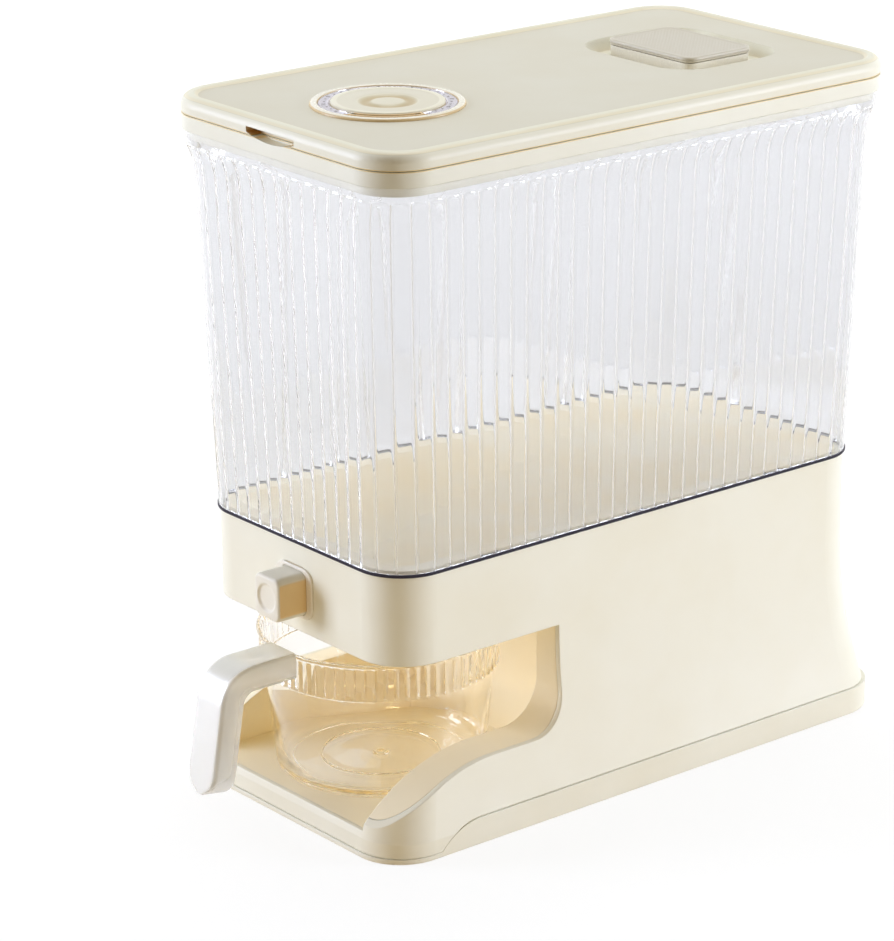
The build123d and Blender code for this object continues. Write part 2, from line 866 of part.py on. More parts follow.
def make_lid():
    under = panel_top - panel_thickness
    half_x = lid_width / 2 - lid_corner
    half_y = lid_depth / 2 - lid_corner
    lid = swept(lid_section(), lid_width, lid_depth, lid_corner)
    lid += block(-half_x, half_x, -half_y, half_y, under, panel_top)
    lid += lid_slab(plug_inset, plug_low, under) - lid_slab(plug_inset + plug_wall, plug_low - 1, under + 1)
    rear = lid_depth / 2
    for side in (-1, 1):
        left_x = side * lug_x - lug_width / 2 - knuckle_width
        right_x = side * lug_x + lug_width / 2 + hinge_clearance
        for x in (left_x, right_x):
            lid += block(
                x,
                x + knuckle_width - hinge_clearance,
                hinge_y - hinge_setback,
                rear - 1.2,
                lid_low,
                lid_top - 1.6,
            )
    lid += block(
        -scoop_half_width - scoop_back_wall,
        scoop_half_width + scoop_back_wall,
        -rear + 1,
        -rear + scoop_depth + scoop_back_wall,
        lid_low,
        under + 0.5,
    )
    lid -= rear_edge_round()
    for side in (-1, 1):
        low = side * lug_x - lug_width / 2 - hinge_clearance
        high = side * lug_x + lug_width / 2 + hinge_clearance
        lid -= hinge_rod(hinge_head_radius + hinge_clearance, low, high)
        lid -= block(
            low,
            high,
            hinge_y - hinge_neck_half - hinge_clearance,
            rear + 1,
            lid_low - 1,
            hinge_z + hinge_neck_half + 3 * hinge_clearance,
        )
        reach = lug_width / 2 + knuckle_width + hinge_pin_gap
        lid -= hinge_rod(hinge_pin_radius + hinge_pin_gap, side * lug_x - reach, side * lug_x + reach)
    lid -= scoop_cut()
    lid -= post(0, dial_y, dial_outer - dial_bezel_width + part_gap, panel_top - dial_recess, panel_top + 1)
    lid -= post(0, dial_y, spindle_radius + spindle_gap, under - 5, panel_top + 1)
    low = dish_sketch(dish_draft, dish_floor)
    lid += slab(
        dish_width, dish_depth, dish_corner, dish_floor - dish_wall, panel_top - dish_wall / 2, dish_y
    )
    lid -= loft([low, dish_sketch(0, panel_top)], ruled=True)
    box_w = cap_width - 2 * (box_inset - box_gap)
    box_d = cap_depth - 2 * (box_inset - box_gap)
    lid -= slab(box_w, box_d, cap_corner - box_inset + 1 + box_gap, dish_floor - 5, panel_top, dish_y)
    return lid


def dish_sketch(inset, z):
    width = dish_width - 2 * inset
    depth = dish_depth - 2 * inset
    return Pos(0, dish_y, z) * RectangleRounded(width, depth, dish_corner - inset)


def rear_edge_round():
    """What the lid's lower rear edge loses so that it turns about the hinge without touching."""
    corner = block(-far / 2, far / 2, hinge_y, hinge_y + far / 8, 0, hinge_z)
    return corner - hinge_rod(hinge_setback, -far / 2, far / 2)


def make_lid_seal():
    seal = lid_slab(mouth_inset + seal_gap, seal_low, seal_high)
    return seal - lid_slab(plug_inset, seal_low - 1, seal_high + 1)


# ================================================================ dial
def make_dial_bezel():
    inner = dial_outer - dial_bezel_width
    ring = post(0, dial_y, dial_outer, panel_top, dial_bezel_top)
    ring -= post(0, dial_y, inner + part_gap, panel_top - 1, dial_bezel_top + 1)
    edges = ring.edges().filter_by(GeomType.CIRCLE).group_by(Axis.Z)[-1]
    return chamfer(edges, 1.2)


def make_dial_plate():
    low = panel_top - dial_recess
    plate = post(0, dial_y, dial_outer - dial_bezel_width, low, low + dial_plate_thickness)
    return plate - post(0, dial_y, spindle_radius + 2 * part_gap, low - 1, panel_top)


def make_dial_window():
    window = post(0, dial_y, dial_outer - dial_bezel_width, dial_window_low, dial_window_top)
    return window - post(0, dial_y, dial_window_inner, dial_window_low - 1, dial_window_top + 1)


def make_dial_knob():
    """A turned disc: rim, flat, raised ring and a dished centre, on a spindle."""
    step = knob_top - knob_dish
    profile = chain(
        [
            (0, spindle_low),
            (spindle_radius, spindle_low),
            (spindle_radius, knob_base),
            (knob_radius, knob_base),
            (knob_radius, knob_top - 1),
            (knob_radius - 1, knob_top),
            (knob_radius - knob_rim_width, knob_top),
            (knob_radius - knob_rim_width - 1, step),
            (knob_ring_outer + 1, step),
            (knob_ring_outer, knob_top),
            (knob_ring_inner, knob_top),
        ]
    )
    profile += chain([(knob_ring_inner, knob_top), (knob_centre_radius, step), (0, step), (0, spindle_low)])
    return Pos(0, dial_y, 0) * revolve(upright_face(profile), Axis.Z, 360)


def make_knob_clip():
    high = panel_top - panel_thickness - part_gap
    clip = post(0, dial_y, clip_radius, high - clip_thickness, high)
    return clip - post(0, dial_y, spindle_radius + 0.02, high - clip_thickness - 1, high + 1)


# ================================================================ moisture box
def make_desiccant_box():
    """A tray through the lid, with a flange that rests in the dish and slots in its floor."""
    flange_top = cap_low - part_gap
    box_w = cap_width - 2 * box_inset
    box_d = cap_depth - 2 * box_inset
    corner = cap_corner - box_inset + 1
    box = slab(cap_width - 1, cap_depth - 1, cap_corner - 0.5, dish_floor, flange_top, dish_y)
    box += slab(box_w, box_d, corner, box_low, flange_top, dish_y)
    box -= slab(box_w - 2 * box_wall, box_d - 2 * box_wall, 1.0, box_low + box_wall, flange_top + 1, dish_y)
    for k in range(box_vent_count):
        x = (k - (box_vent_count - 1) / 2) * box_vent_pitch
        half = box_vent_width / 2
        reach = box_d / 2 - 6
        box -= block(x - half, x + half, dish_y - reach, dish_y + reach, box_low - 1, box_low + box_wall + 1)
    return box


def make_desiccant_pack():
    width = cap_width - 2 * (box_inset + box_wall + pack_gap)
    depth = cap_depth - 2 * (box_inset + box_wall + pack_gap)
    low = box_low + box_wall
    pack = slab(width, depth, 4.0, low, low + pack_height, dish_y)
    return fillet(pack.edges().group_by(Axis.Z)[-1], 3.0)


def make_desiccant_cap():
    cap = slab(cap_width, cap_depth, cap_corner, cap_low, cap_top, dish_y)
    cap = fillet(cap.edges().group_by(Axis.Z)[-1], cap_edge_round)
    slots = []
    half = cap_grid_slot / 2
    for i in range(cap_grid_count_x):
        for j in range(cap_grid_count_y):
            x = (i - (cap_grid_count_x - 1) / 2) * cap_grid_pitch
            y = dish_y + (j - (cap_grid_count_y - 1) / 2) * cap_grid_pitch
            slots.append(
                block(x - half, x + half, y - half, y + half, cap_top - cap_grid_depth, cap_top + 1)
            )
    cap -= slots
    plug_w = cap_width - 2 * (box_inset + box_wall + part_gap)
    plug_d = cap_depth - 2 * (box_inset + box_wall + part_gap)
    return cap + slab(plug_w, plug_d, 1.0, cap_low - 3, cap_low, dish_y)


# ================================================================ measuring cup
def cup_profile():
    """Half of the cup's section, about its own axis."""
    low = bay_floor + cup_stand_gap
    floor_low = low + cup_foot_ring_height
    floor_top = floor_low + cup_floor_thickness
    rim_low = cup_rim_z - cup_rim_height
    inner_top = cup_body_radius - cup_wall
    inner_foot = cup_foot_radius - cup_wall
    turn = cup_foot_round * (1 - sin(radians(45)))
    outer = chain(
        [
            (0, floor_low),
            (cup_foot_ring_radius - 2, floor_low),
            (cup_foot_ring_radius - 2, low),
            (cup_foot_ring_radius, low),
            (cup_foot_radius - cup_foot_round, low),
        ]
    )
    outer.append(
        ThreePointArc(
            Vector(cup_foot_radius - cup_foot_round, 0, low),
            Vector(cup_foot_radius - turn, 0, low + turn),
            Vector(cup_foot_radius, 0, low + cup_foot_round),
        )
    )
    outer += chain(
        [
            (cup_foot_radius, low + cup_foot_round),
            (cup_body_radius, cup_band_low),
            (cup_band_radius, cup_band_low + 1.5),
            (cup_band_radius, rim_low),
            (cup_rim_radius, rim_low + 0.6),
            (cup_rim_radius, cup_rim_z),
            (cup_rim_radius - cup_wall, cup_rim_z),
            (inner_top, cup_band_low - 2),
            (inner_foot, low + cup_foot_round + 2),
            (inner_foot - 4, floor_top),
            (cup_ring_radius + cup_ring_width, floor_top),
            (cup_ring_radius + cup_ring_width / 2, floor_top + cup_ring_height),
            (cup_ring_radius, floor_top),
            (cup_boss_radius, floor_top),
            (cup_boss_radius - 1, floor_top + cup_ring_height),
            (0, floor_top + cup_ring_height),
            (0, floor_low),
        ]
    )
    return upright_face(outer)


def handle_line(depth):
    """Edges of the handle's outer line moved inwards by a depth, from the rim out and down to the tip."""
    radius = handle_bend_radius - depth
    run = handle_bend_y - handle_tip_y - handle_bend_radius
    fall = handle_top - handle_bend_radius - handle_tip_z
    lean = run / fall
    start = Vector(0, cup_y - cup_rim_radius + cup_wall, handle_top - depth)
    bend_top = Vector(0, handle_bend_y, handle_top - depth)
    mid = Vector(
        0,
        handle_bend_y - radius * sin(radians(45)),
        handle_top - handle_bend_radius + radius * cos(radians(45)),
    )
    bend_low = Vector(0, handle_bend_y - radius, handle_top - handle_bend_radius)
    tip = Vector(0, bend_low.Y - lean * fall, handle_tip_z)
    return [Line(start, bend_top), ThreePointArc(bend_top, mid, bend_low), Line(bend_low, tip)]


def handle_blank(outer_depth, inner_depth, half_width):
    """A strip between two lines parallel to the handle's outer face."""
    outer = handle_line(outer_depth)
    inner = handle_line(inner_depth)
    first = Line(inner[0] @ 0, outer[0] @ 0)
    last = Line(outer[-1] @ 1, inner[-1] @ 1)
    face = make_face(Wire([first] + outer + [last] + inner))
    return extrude(Pos(-half_width, 0, 0) * face, 2 * half_width, dir=(1, 0, 0))


def make_handle():
    """A U-section handle: a broad outer web with a flange along each side."""
    full_depth = handle_web + handle_flange_depth
    handle = handle_blank(0, full_depth, handle_half_width)
    channel = handle_blank(handle_web, full_depth + 1, handle_half_width - handle_flange_wall)
    handle -= channel
    round_tip = Pos(0, 0, handle_tip_z + handle_half_width)
    tip_plane = Plane(
        origin=(0, handle_tip_y - 30, handle_tip_z + handle_half_width), x_dir=(1, 0, 0), z_dir=(0, -1, 0)
    )
    disc = extrude(tip_plane * Circle(handle_half_width), -80)
    above = block(-30, 30, -far, 0, handle_tip_z + handle_half_width, far)
    return handle & (disc + above)


def make_measuring_cup():
    cup = Pos(0, cup_y, 0) * revolve(cup_profile(), Axis.Z, 360)
    handle = make_handle() - post(0, cup_y, cup_rim_radius - cup_wall / 2, 0, far)
    cup += handle
    flutes = []
    for k in range(cup_flute_count):
        angle = 2 * pi * k / cup_flute_count
        if abs(angle - 3 * pi / 2) > 0.24:
            x = (cup_band_radius + cup_flute_radius / 2) * cos(angle)
            y = cup_y + (cup_band_radius + cup_flute_radius / 2) * sin(angle)
            flutes.append(post(x, y, cup_flute_radius, cup_band_low - 4, cup_rim_z - cup_rim_height))
    return cup - flutes


# ================================================================ write the nodes
MAKERS = {
    "base_shell": make_base_shell,
    "bay_liner": make_bay_liner,
    "bottom_plate": make_bottom_plate,
    "foot_pads": make_foot_pads,
    "base_screws": make_base_screws,
    "hopper": make_hopper,
    "outlet_chute": make_outlet_chute,
    "chute_screws": make_chute_screws,
    "gate_slide": make_gate_slide,
    "push_button": make_push_button,
    "button_bezel": make_button_bezel,
    "return_spring": make_return_spring,
    "tank": make_tank,
    "tank_gasket": make_tank_gasket,
    "lid_frame": make_lid_frame,
    "hinge_pins": make_hinge_pins,
    "lid": make_lid,
    "lid_seal": make_lid_seal,
    "dial_bezel": make_dial_bezel,
    "dial_plate": make_dial_plate,
    "dial_window": make_dial_window,
    "dial_knob": make_dial_knob,
    "knob_clip": make_knob_clip,
    "desiccant_box": make_desiccant_box,
    "desiccant_pack": make_desiccant_pack,
    "desiccant_cap": make_desiccant_cap,
    "measuring_cup": make_measuring_cup,
}

os.makedirs("parts", exist_ok=True)
for name, maker in MAKERS.items():
    made = maker()
    solids = [s for piece in made for s in piece.solids()] if isinstance(made, list) else made.solids()
    shape = solids[0] if len(solids) == 1 else Compound(children=solids)
    shape.label = name
    export_step(shape, f"parts/{name}.step")
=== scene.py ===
import math

import bmesh
import bpy
import numpy as np
from mathutils import Matrix, Vector


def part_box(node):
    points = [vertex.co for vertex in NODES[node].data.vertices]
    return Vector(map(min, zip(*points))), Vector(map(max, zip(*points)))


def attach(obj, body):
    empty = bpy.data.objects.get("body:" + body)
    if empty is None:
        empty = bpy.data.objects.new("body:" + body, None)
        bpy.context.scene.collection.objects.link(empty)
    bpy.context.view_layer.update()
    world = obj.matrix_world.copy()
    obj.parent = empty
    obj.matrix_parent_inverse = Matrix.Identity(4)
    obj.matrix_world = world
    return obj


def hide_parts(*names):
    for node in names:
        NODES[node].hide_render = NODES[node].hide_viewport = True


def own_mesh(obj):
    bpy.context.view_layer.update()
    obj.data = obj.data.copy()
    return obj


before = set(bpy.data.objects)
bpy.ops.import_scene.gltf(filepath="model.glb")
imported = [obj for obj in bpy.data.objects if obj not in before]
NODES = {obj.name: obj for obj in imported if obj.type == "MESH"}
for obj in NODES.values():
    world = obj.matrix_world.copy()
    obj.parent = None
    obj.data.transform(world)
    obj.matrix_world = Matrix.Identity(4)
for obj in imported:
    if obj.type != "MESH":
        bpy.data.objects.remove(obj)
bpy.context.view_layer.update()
MM = 0.001
# Points, sizes and heights are in millimetres. The stage, and distances inside a material, are in metres.


# ------------------------------------------------------------------ node helpers
def new_material(name):
    """A material with its node tree, its Principled shader and its output node."""
    mat = bpy.data.materials.new(name)
    mat.use_nodes = True
    tree = mat.node_tree
    bsdf = next(n for n in tree.nodes if n.type == "BSDF_PRINCIPLED")
    out = next(n for n in tree.nodes if n.type == "OUTPUT_MATERIAL")
    return mat, tree, bsdf, out


def feed(tree, node, inputs):
    """Fill a node's inputs, each with a constant or from another node's output."""
    for socket, value in inputs.items():
        if isinstance(value, bpy.types.NodeSocket):
            tree.links.new(value, node.inputs[socket])
        else:
            node.inputs[socket].default_value = value


def add_node(tree, kind, inputs=None, **settings):
    """A new shader node with its settings and inputs."""
    node = tree.nodes.new(kind)
    for setting, value in settings.items():
        setattr(node, setting, value)
    feed(tree, node, inputs or {})
    return node


def object_place(tree):
    """The place on the object, in metres."""
    return add_node(tree, "ShaderNodeTexCoord").outputs["Object"]


def along_axis(tree, place, axis):
    """The X, Y or Z of a place."""
    return add_node(tree, "ShaderNodeSeparateXYZ", {"Vector": place}).outputs[axis]


def calculate(tree, operation, *values):
    """The result of a Math node's operation on its values."""
    return add_node(tree, "ShaderNodeMath", dict(enumerate(values)), operation=operation).outputs[0]


def either(tree, *flags):
    """1 where any of the flags is 1."""
    result = flags[0]
    for flag in flags[1:]:
        result = calculate(tree, "MAXIMUM", result, flag)
    return result


def mix_colours(tree, factor, first, second, blend="MIX"):
    """A colour between two others, or their product where blend is MULTIPLY."""
    inputs = {"Factor": factor, "A": first, "B": second}
    return add_node(tree, "ShaderNodeMix", inputs, data_type="RGBA", blend_type=blend).outputs["Result"]


def map_range(tree, value, low, high, to_low=0.0, to_high=1.0, curve="LINEAR"):
    """A value carried over from one range to another."""
    inputs = {"Value": value, "From Min": low, "From Max": high, "To Min": to_low, "To Max": to_high}
    return add_node(tree, "ShaderNodeMapRange", inputs, interpolation_type=curve).outputs["Result"]


def noise(tree, place, scale, detail=2.0):
    """Random variation over the object, finer with a larger scale."""
    inputs = {"Vector": place, "Scale": scale, "Detail": detail}
    return add_node(tree, "ShaderNodeTexNoise", inputs).outputs["Fac"]


def height_tones(tree, place, colour, heights):
    """Multiply a colour by tones that change with height: (z in mm, (r, g, b)) from low to high."""
    low, high = heights[0][0] * MM, heights[-1][0] * MM
    level = map_range(tree, along_axis(tree, place, "Z"), low, high)
    tones = add_node(tree, "ShaderNodeValToRGB", {"Fac": level})
    while len(tones.color_ramp.elements) < len(heights):
        tones.color_ramp.elements.new(0.5)
    for stop, (z, tone) in zip(tones.color_ramp.elements, heights):
        stop.position = (z * MM - low) / (high - low)
        stop.color = (*tone, 1)
    return mix_colours(tree, 1.0, colour, tones.outputs["Color"], blend="MULTIPLY")


# ------------------------------------------------------------------ kinds of material
MOTTLE_DETAIL, MOTTLE_RANGE = 3.0, (0.35, 0.7)
FLANK_SHADE_BLEND = 0.35
RECESS_SHADE_SAMPLES, RECESS_SHADE_RANGE = 6, (0.25, 0.92)
SKIN_SCALE, SKIN_STRENGTH, SKIN_DEPTH = 900.0, 0.1, 0.00003
SKIN_SMOOTHER, SKIN_ROUGHER = 0.04, 0.05
BEVEL_SAMPLES = 8
MOULDED_IOR = 1.46
RIPPLE_SCALE, RIPPLE_DETAIL, RIPPLE_DEPTH = 45.0, 1.0, 0.0004
COAT_ROUGH, COAT_IOR = 0.04, 1.7
DEEPEST_RAY = 6.5
CLEAR_AIR = (0.995, 0.995, 0.995, 1)
TURNING_SCALE, TURNING_TINT = 1500.0, (0.8, 0.8, 0.8)
WARM_TINT = (0.94, 0.91, 0.84)


def linear(r, g, b):
    """Linear colour from 8-bit display values."""
    out = []
    for c in (r, g, b):
        c = c / 255
        out.append(c / 12.92 if c <= 0.04045 else ((c + 0.055) / 1.055) ** 2.4)
    return (*out, 1.0)


def tinted(colour, tint):
    """A colour times a tint, channel by channel."""
    return (*(c * t for c, t in zip(colour, tint)), 1.0)


def moulded(name, colour, rough=0.34, tint=WARM_TINT, mottle=0.5, patch=18.0, bevel=0.0, deep=None,
            reach=0.01, heights=None, shine=0.4, flanks=None):
    """Injection-moulded plastic: faint mottling, painted warm shade in recesses, a fine skin and a satin
    gloss.

    heights gives tones by height, which paint shade and highlights where they are used; flanks gives a half
    width in mm and the colour of painted shade on the sides beyond it.
    """
    mat, tree, bsdf, _ = new_material(name)
    place = object_place(tree)
    patches = map_range(tree, noise(tree, place, patch, MOTTLE_DETAIL), *MOTTLE_RANGE, 0.0, mottle)
    body = mix_colours(tree, patches, colour, tinted(colour, tint))
    if heights:
        body = height_tones(tree, place, body, heights)
    # Painted shade: beyond the half width across X, the colour turns to the flank colour.
    if flanks:
        half_width, flank_shade = flanks
        outward = calculate(tree, "ABSOLUTE", along_axis(tree, place, "X"))
        beyond = map_range(tree, outward, (half_width - FLANK_SHADE_BLEND) * MM, half_width * MM)
        body = mix_colours(tree, beyond, body, flank_shade)
    # Painted shade: where ambient occlusion finds a recess within reach, the colour turns towards the deep
    # colour.
    if deep:
        openness = add_node(tree, "ShaderNodeAmbientOcclusion", {"Distance": reach}, samples=RECESS_SHADE_SAMPLES,
                            only_local=True).outputs["AO"]
        body = mix_colours(tree, map_range(tree, openness, *RECESS_SHADE_RANGE, 1.0, 0.0), body, deep)
    fine = noise(tree, place, SKIN_SCALE)
    skin = {"Strength": SKIN_STRENGTH, "Distance": SKIN_DEPTH, "Height": fine}
    if bevel > 0:
        rounded = add_node(tree, "ShaderNodeBevel", {"Radius": bevel}, samples=BEVEL_SAMPLES)
        skin["Normal"] = rounded.outputs["Normal"]
    feed(tree, bsdf, {
        "Base Color": body,
        "Roughness": map_range(tree, fine, 0.0, 1.0, rough - SKIN_SMOOTHER, rough + SKIN_ROUGHER),
        "Normal": add_node(tree, "ShaderNodeBump", skin).outputs["Normal"],
        "IOR": MOULDED_IOR,
        "Specular IOR Level": shine,
    })
    return mat


def clear(name, colour, rough=0.03, ior=1.49, wave=0.15, gloss=0.0, share=1.0, heights=None, shine=0.5):
    """Clear moulded plastic: glass with a faint ripple that lets shadow, diffuse and deep rays pass."""
    mat, tree, bsdf, out = new_material(name)
    place = object_place(tree)
    ripple = {"Strength": wave, "Distance": RIPPLE_DEPTH}
    ripple["Height"] = noise(tree, place, RIPPLE_SCALE, RIPPLE_DETAIL)
    feed(tree, bsdf, {
        "Base Color": height_tones(tree, place, colour, heights) if heights else colour,
        "Transmission Weight": share,
        "Roughness": rough,
        "IOR": ior,
        "Specular IOR Level": shine,
        "Coat Weight": gloss,
        "Coat Roughness": COAT_ROUGH,
        "Coat IOR": COAT_IOR,
        "Normal": add_node(tree, "ShaderNodeBump", ripple).outputs["Normal"],
    })
    ray = add_node(tree, "ShaderNodeLightPath").outputs
    deep = calculate(tree, "GREATER_THAN", ray["Ray Depth"], DEEPEST_RAY)
    passes = either(tree, ray["Is Shadow Ray"], ray["Is Diffuse Ray"], deep)
    through = add_node(tree, "ShaderNodeBsdfTransparent", {"Color": CLEAR_AIR})
    layers = {"Fac": passes, 1: bsdf.outputs["BSDF"], 2: through.outputs["BSDF"]}
    feed(tree, out, {"Surface": add_node(tree, "ShaderNodeMixShader", layers).outputs["Shader"]})
    return mat


def brushed(name, colour, rough=0.28):
    """Plated steel with fine turning marks."""
    mat, tree, bsdf, _ = new_material(name)
    marks = noise(tree, object_place(tree), TURNING_SCALE)
    shades = mix_colours(tree, marks, colour, tinted(colour, TURNING_TINT))
    feed(tree, bsdf, {"Metallic": 1.0, "Base Color": shades, "Roughness": rough})
    return mat


# ------------------------------------------------------------------ materials of the pieces
# Tones multiply a colour at a height. The frame's and the lid's are painted shade at the seam between them,
# and the lid's upper ones are painted shade on the dished panel, painted light on the rim's inner slope and a
# painted highlight at the crest.
PLAIN = (1, 1, 1)
SEAM_EDGE_SHADE, SEAM_SHADE = (0.98, 0.80, 0.50), (0.98, 0.78, 0.45)
FRAME_SEAM_SHADE = [
    (365.9, PLAIN), (366.2, SEAM_EDGE_SHADE), (366.5, SEAM_SHADE), (366.57, PLAIN), (366.7, PLAIN),
]
DISH_SHADE, LID_CREST_HIGHLIGHT = (0.84, 0.82, 0.80), (1.02, 1.02, 1.0)
LID_SHADE_AND_HIGHLIGHT = [
    (366.9, PLAIN), (367.03, PLAIN), (367.08, SEAM_SHADE), (367.35, SEAM_EDGE_SHADE), (367.6, PLAIN),
    (374.5, PLAIN), (374.58, DISH_SHADE), (374.66, DISH_SHADE), (374.74, (0.99, 0.94, 0.84)),
    (375.5, (1.0, 0.96, 0.88)), (375.9, LID_CREST_HIGHLIGHT), (376.1, LID_CREST_HIGHLIGHT),
]
# Painted shade on the bezel's low inner wall, and a painted highlight on its top.
BEZEL_SHADE_AND_HIGHLIGHT = [(374.6, (0.78, 0.60, 0.36)), (375.8, (0.86, 0.70, 0.46)), (376.1, (1.06, 1.06, 1.02))]
# Painted shade in the knob's groove and on its low walls, and a painted highlight on its raised edge.
KNOB_SHADE_AND_HIGHLIGHT = [
    (374.6, (0.74, 0.60, 0.40)), (375.2, (0.78, 0.68, 0.50)), (375.8, (0.86, 0.82, 0.72)),
    (376.1, (1.0, 0.99, 0.95)), (376.35, (0.95, 0.94, 0.91)), (376.5, (0.96, 0.95, 0.92)),
    (376.7, (1.1, 1.1, 1.08)),
]
# Handle tones: the leg's plain level, painted light at the bend and painted shade on the top.
HANDLE_LEG = (0.84, 0.84, 0.82)
HANDLE_SHADE_AND_LIGHT = [
    (28.0, HANDLE_LEG), (82.5, HANDLE_LEG), (88.0, (1.04, 1.03, 0.99)), (96.0, (0.87, 0.85, 0.75)),
]
# Painted shade: the button's sides beyond 10.6 mm from its middle turn golden brown.
BUTTON_SHADED_FLANKS = (10.6, linear(240, 212, 160))
HOPPER_TINT = (1.0, 0.88, 0.66)

ivory = moulded("ivory_plastic", linear(240, 239, 225), rough=0.36, bevel=0.0009)
frame_ivory = moulded("frame_ivory", linear(238, 238, 225), rough=0.36, bevel=0.0005, heights=FRAME_SEAM_SHADE)
# ivory_gloss and lid_ivory get a warm deep colour as painted shade in their recesses.
ivory_gloss = moulded("ivory_gloss", linear(240, 236, 224), rough=0.26, bevel=0.0004,
                      deep=linear(226, 180, 96))
lid_ivory = moulded("lid_ivory", linear(234, 232, 215), rough=0.38, bevel=0.0004,
                    deep=linear(205, 160, 84), reach=0.006, heights=LID_SHADE_AND_HIGHLIGHT)
bezel_ivory = moulded("bezel_ivory", linear(242, 238, 226), rough=0.26, heights=BEZEL_SHADE_AND_HIGHLIGHT)
knob_ivory = moulded("knob_ivory", linear(230, 226, 208), heights=KNOB_SHADE_AND_HIGHLIGHT)
cap_ivory = moulded("cap_ivory", linear(208, 202, 186))
button_ivory = moulded("button_ivory", linear(238, 236, 226), shine=0.15, flanks=BUTTON_SHADED_FLANKS)
hopper_tan = moulded("hopper_plastic", linear(255, 248, 226), rough=0.40, tint=HOPPER_TINT, mottle=0.6,
                     patch=26.0)
# Painted light: the liner is a paler, warmer copy of the ivory, so the cup bay looks warmly lit.
liner_warm_lit = moulded("liner_plastic", linear(253, 244, 218), rough=0.36, bevel=0.0009)
dial_ivory = moulded("dial_ivory", linear(206, 202, 214), rough=0.42)
foot_rubber = moulded("foot_rubber", linear(215, 210, 200), rough=0.7)
seal_rubber = moulded("seal_rubber", linear(232, 230, 222), rough=0.55)
dark_rubber = moulded("dark_rubber", linear(24, 16, 36), rough=0.6)
pack_paper = moulded("pack_paper", linear(235, 235, 230), rough=0.8)
gap_shade_tan = moulded("gap_shade_tan", linear(196, 160, 104), rough=0.5)
tick_ink = moulded("tick_ink", linear(86, 78, 74), rough=0.5)
steel = brushed("screw_steel", linear(190, 190, 192))
spring_steel = brushed("spring_steel", linear(200, 200, 205), rough=0.2)
tank_clear = clear("clear_plastic", (0.84, 0.842, 0.855, 1), ior=1.36, gloss=0.8)
# Painted highlight: a whiter, half-diffuse clear for the faces along the ribs' edges, which show as white
# lines.
rib_edge_highlight = clear("rib_highlight_plastic", (0.94, 0.94, 0.945, 1), rough=0.12, ior=1.36, wave=0.0, gloss=1.0, share=0.5)
cup_clear = clear("cup_plastic", (0.99, 0.985, 0.97, 1), rough=0.02, ior=1.25, wave=0.05, gloss=0.5)
dial_clear = clear("dial_clear", (0.93, 0.92, 0.97, 1), rough=0.02, ior=1.3)
handle_clear = clear("handle_plastic", (0.81, 0.81, 0.79, 1), rough=0.34, ior=1.33, wave=0.0, share=0.5,
                     shine=0.1, heights=HANDLE_SHADE_AND_LIGHT)

CAD_LOOK = {
    "base_shell": ivory,
    "bay_liner": liner_warm_lit,
    "bottom_plate": ivory,
    "foot_pads": foot_rubber,
    "base_screws": steel,
    "hopper": hopper_tan,
    "outlet_chute": hopper_tan,
    "chute_screws": steel,
    "gate_slide": ivory_gloss,
    "push_button": button_ivory,
    "button_bezel": ivory_gloss,
    "return_spring": spring_steel,
    "tank": tank_clear,
    "tank_gasket": dark_rubber,
    "lid_frame": frame_ivory,
    "hinge_pins": steel,
    "lid": lid_ivory,
    "lid_seal": seal_rubber,
    "dial_bezel": bezel_ivory,
    "dial_plate": dial_ivory,
    "dial_window": cup_clear,
    "dial_knob": knob_ivory,
    "knob_clip": spring_steel,
    "desiccant_box": ivory_gloss,
    "desiccant_pack": pack_paper,
    "desiccant_cap": cap_ivory,
    "measuring_cup": cup_clear,
}
CAD_SHARP = 28


def smooth(mesh, sharp):
    """Shade a mesh smooth, with hard edges over an angle in degrees."""
    mesh.polygons.foreach_set("use_smooth", [True] * len(mesh.polygons))
    mesh.set_sharp_from_angle(angle=math.radians(sharp))


for node_name, look in CAD_LOOK.items():
    node = NODES[node_name]
    node.data.materials.clear()
    node.data.materials.append(look)
    smooth(node.data, CAD_SHARP)


# ------------------------------------------------------------------ mesh helpers
QUARTER_TURNS = ((1, 0), (0, 1), (-1, 0), (0, -1))


def mesh_piece(name, verts, faces, look, body, node=None, sharp=30.0):
    """Make an object from points in millimetres, dress it, and let it ride on a body."""
    mesh = bpy.data.meshes.new(name)
    mesh.from_pydata((np.asarray(verts, dtype=float) * MM).tolist(), [], faces)
    mesh.validate()
    smooth(mesh, sharp)
    mesh.materials.append(look)
    piece = bpy.data.objects.new(name, mesh)
    bpy.context.scene.collection.objects.link(piece)
    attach(piece, body)
    if node:
        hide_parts(node)
    return piece


def joined(count, low, high):
    """Quads between two closed rings of points, which begin at the given numbers."""
    return [(low + k, low + (k + 1) % count, high + (k + 1) % count, high + k) for k in range(count)]


def stacked(rings):
    """Points and quads of closed rings with as many points each, joined one to the next."""
    count = len(rings[0])
    faces = []
    for level in range(len(rings) - 1):
        faces += joined(count, level * count, (level + 1) * count)
    return np.concatenate(rings), faces


def closed_tube(rings):
    """Rings joined into a loop, last to first, as a wall with an outside and an inside has."""
    verts, faces = stacked(rings)
    count = len(rings[0])
    return verts, faces + joined(count, (len(rings) - 1) * count, 0)


def capped(rings, flipped=False):
    """Rings with a flat cap at each end; flipped turns the caps over, for rings in the other order."""
    verts, faces = stacked(rings)
    count = len(rings[0])
    last = (len(rings) - 1) * count
    step = 1 if flipped else -1
    faces.append(tuple(range(count))[::step])
    faces.append(tuple(range(last, last + count))[::-step])
    return verts, faces


def merged(parts):
    """Join several lists of points and faces."""
    verts, faces, start = [], [], 0
    for part_verts, part_faces in parts:
        verts.append(np.asarray(part_verts, dtype=float))
        faces += [tuple(i + start for i in face) for face in part_faces]
        start += len(part_verts)
    return np.concatenate(verts), faces


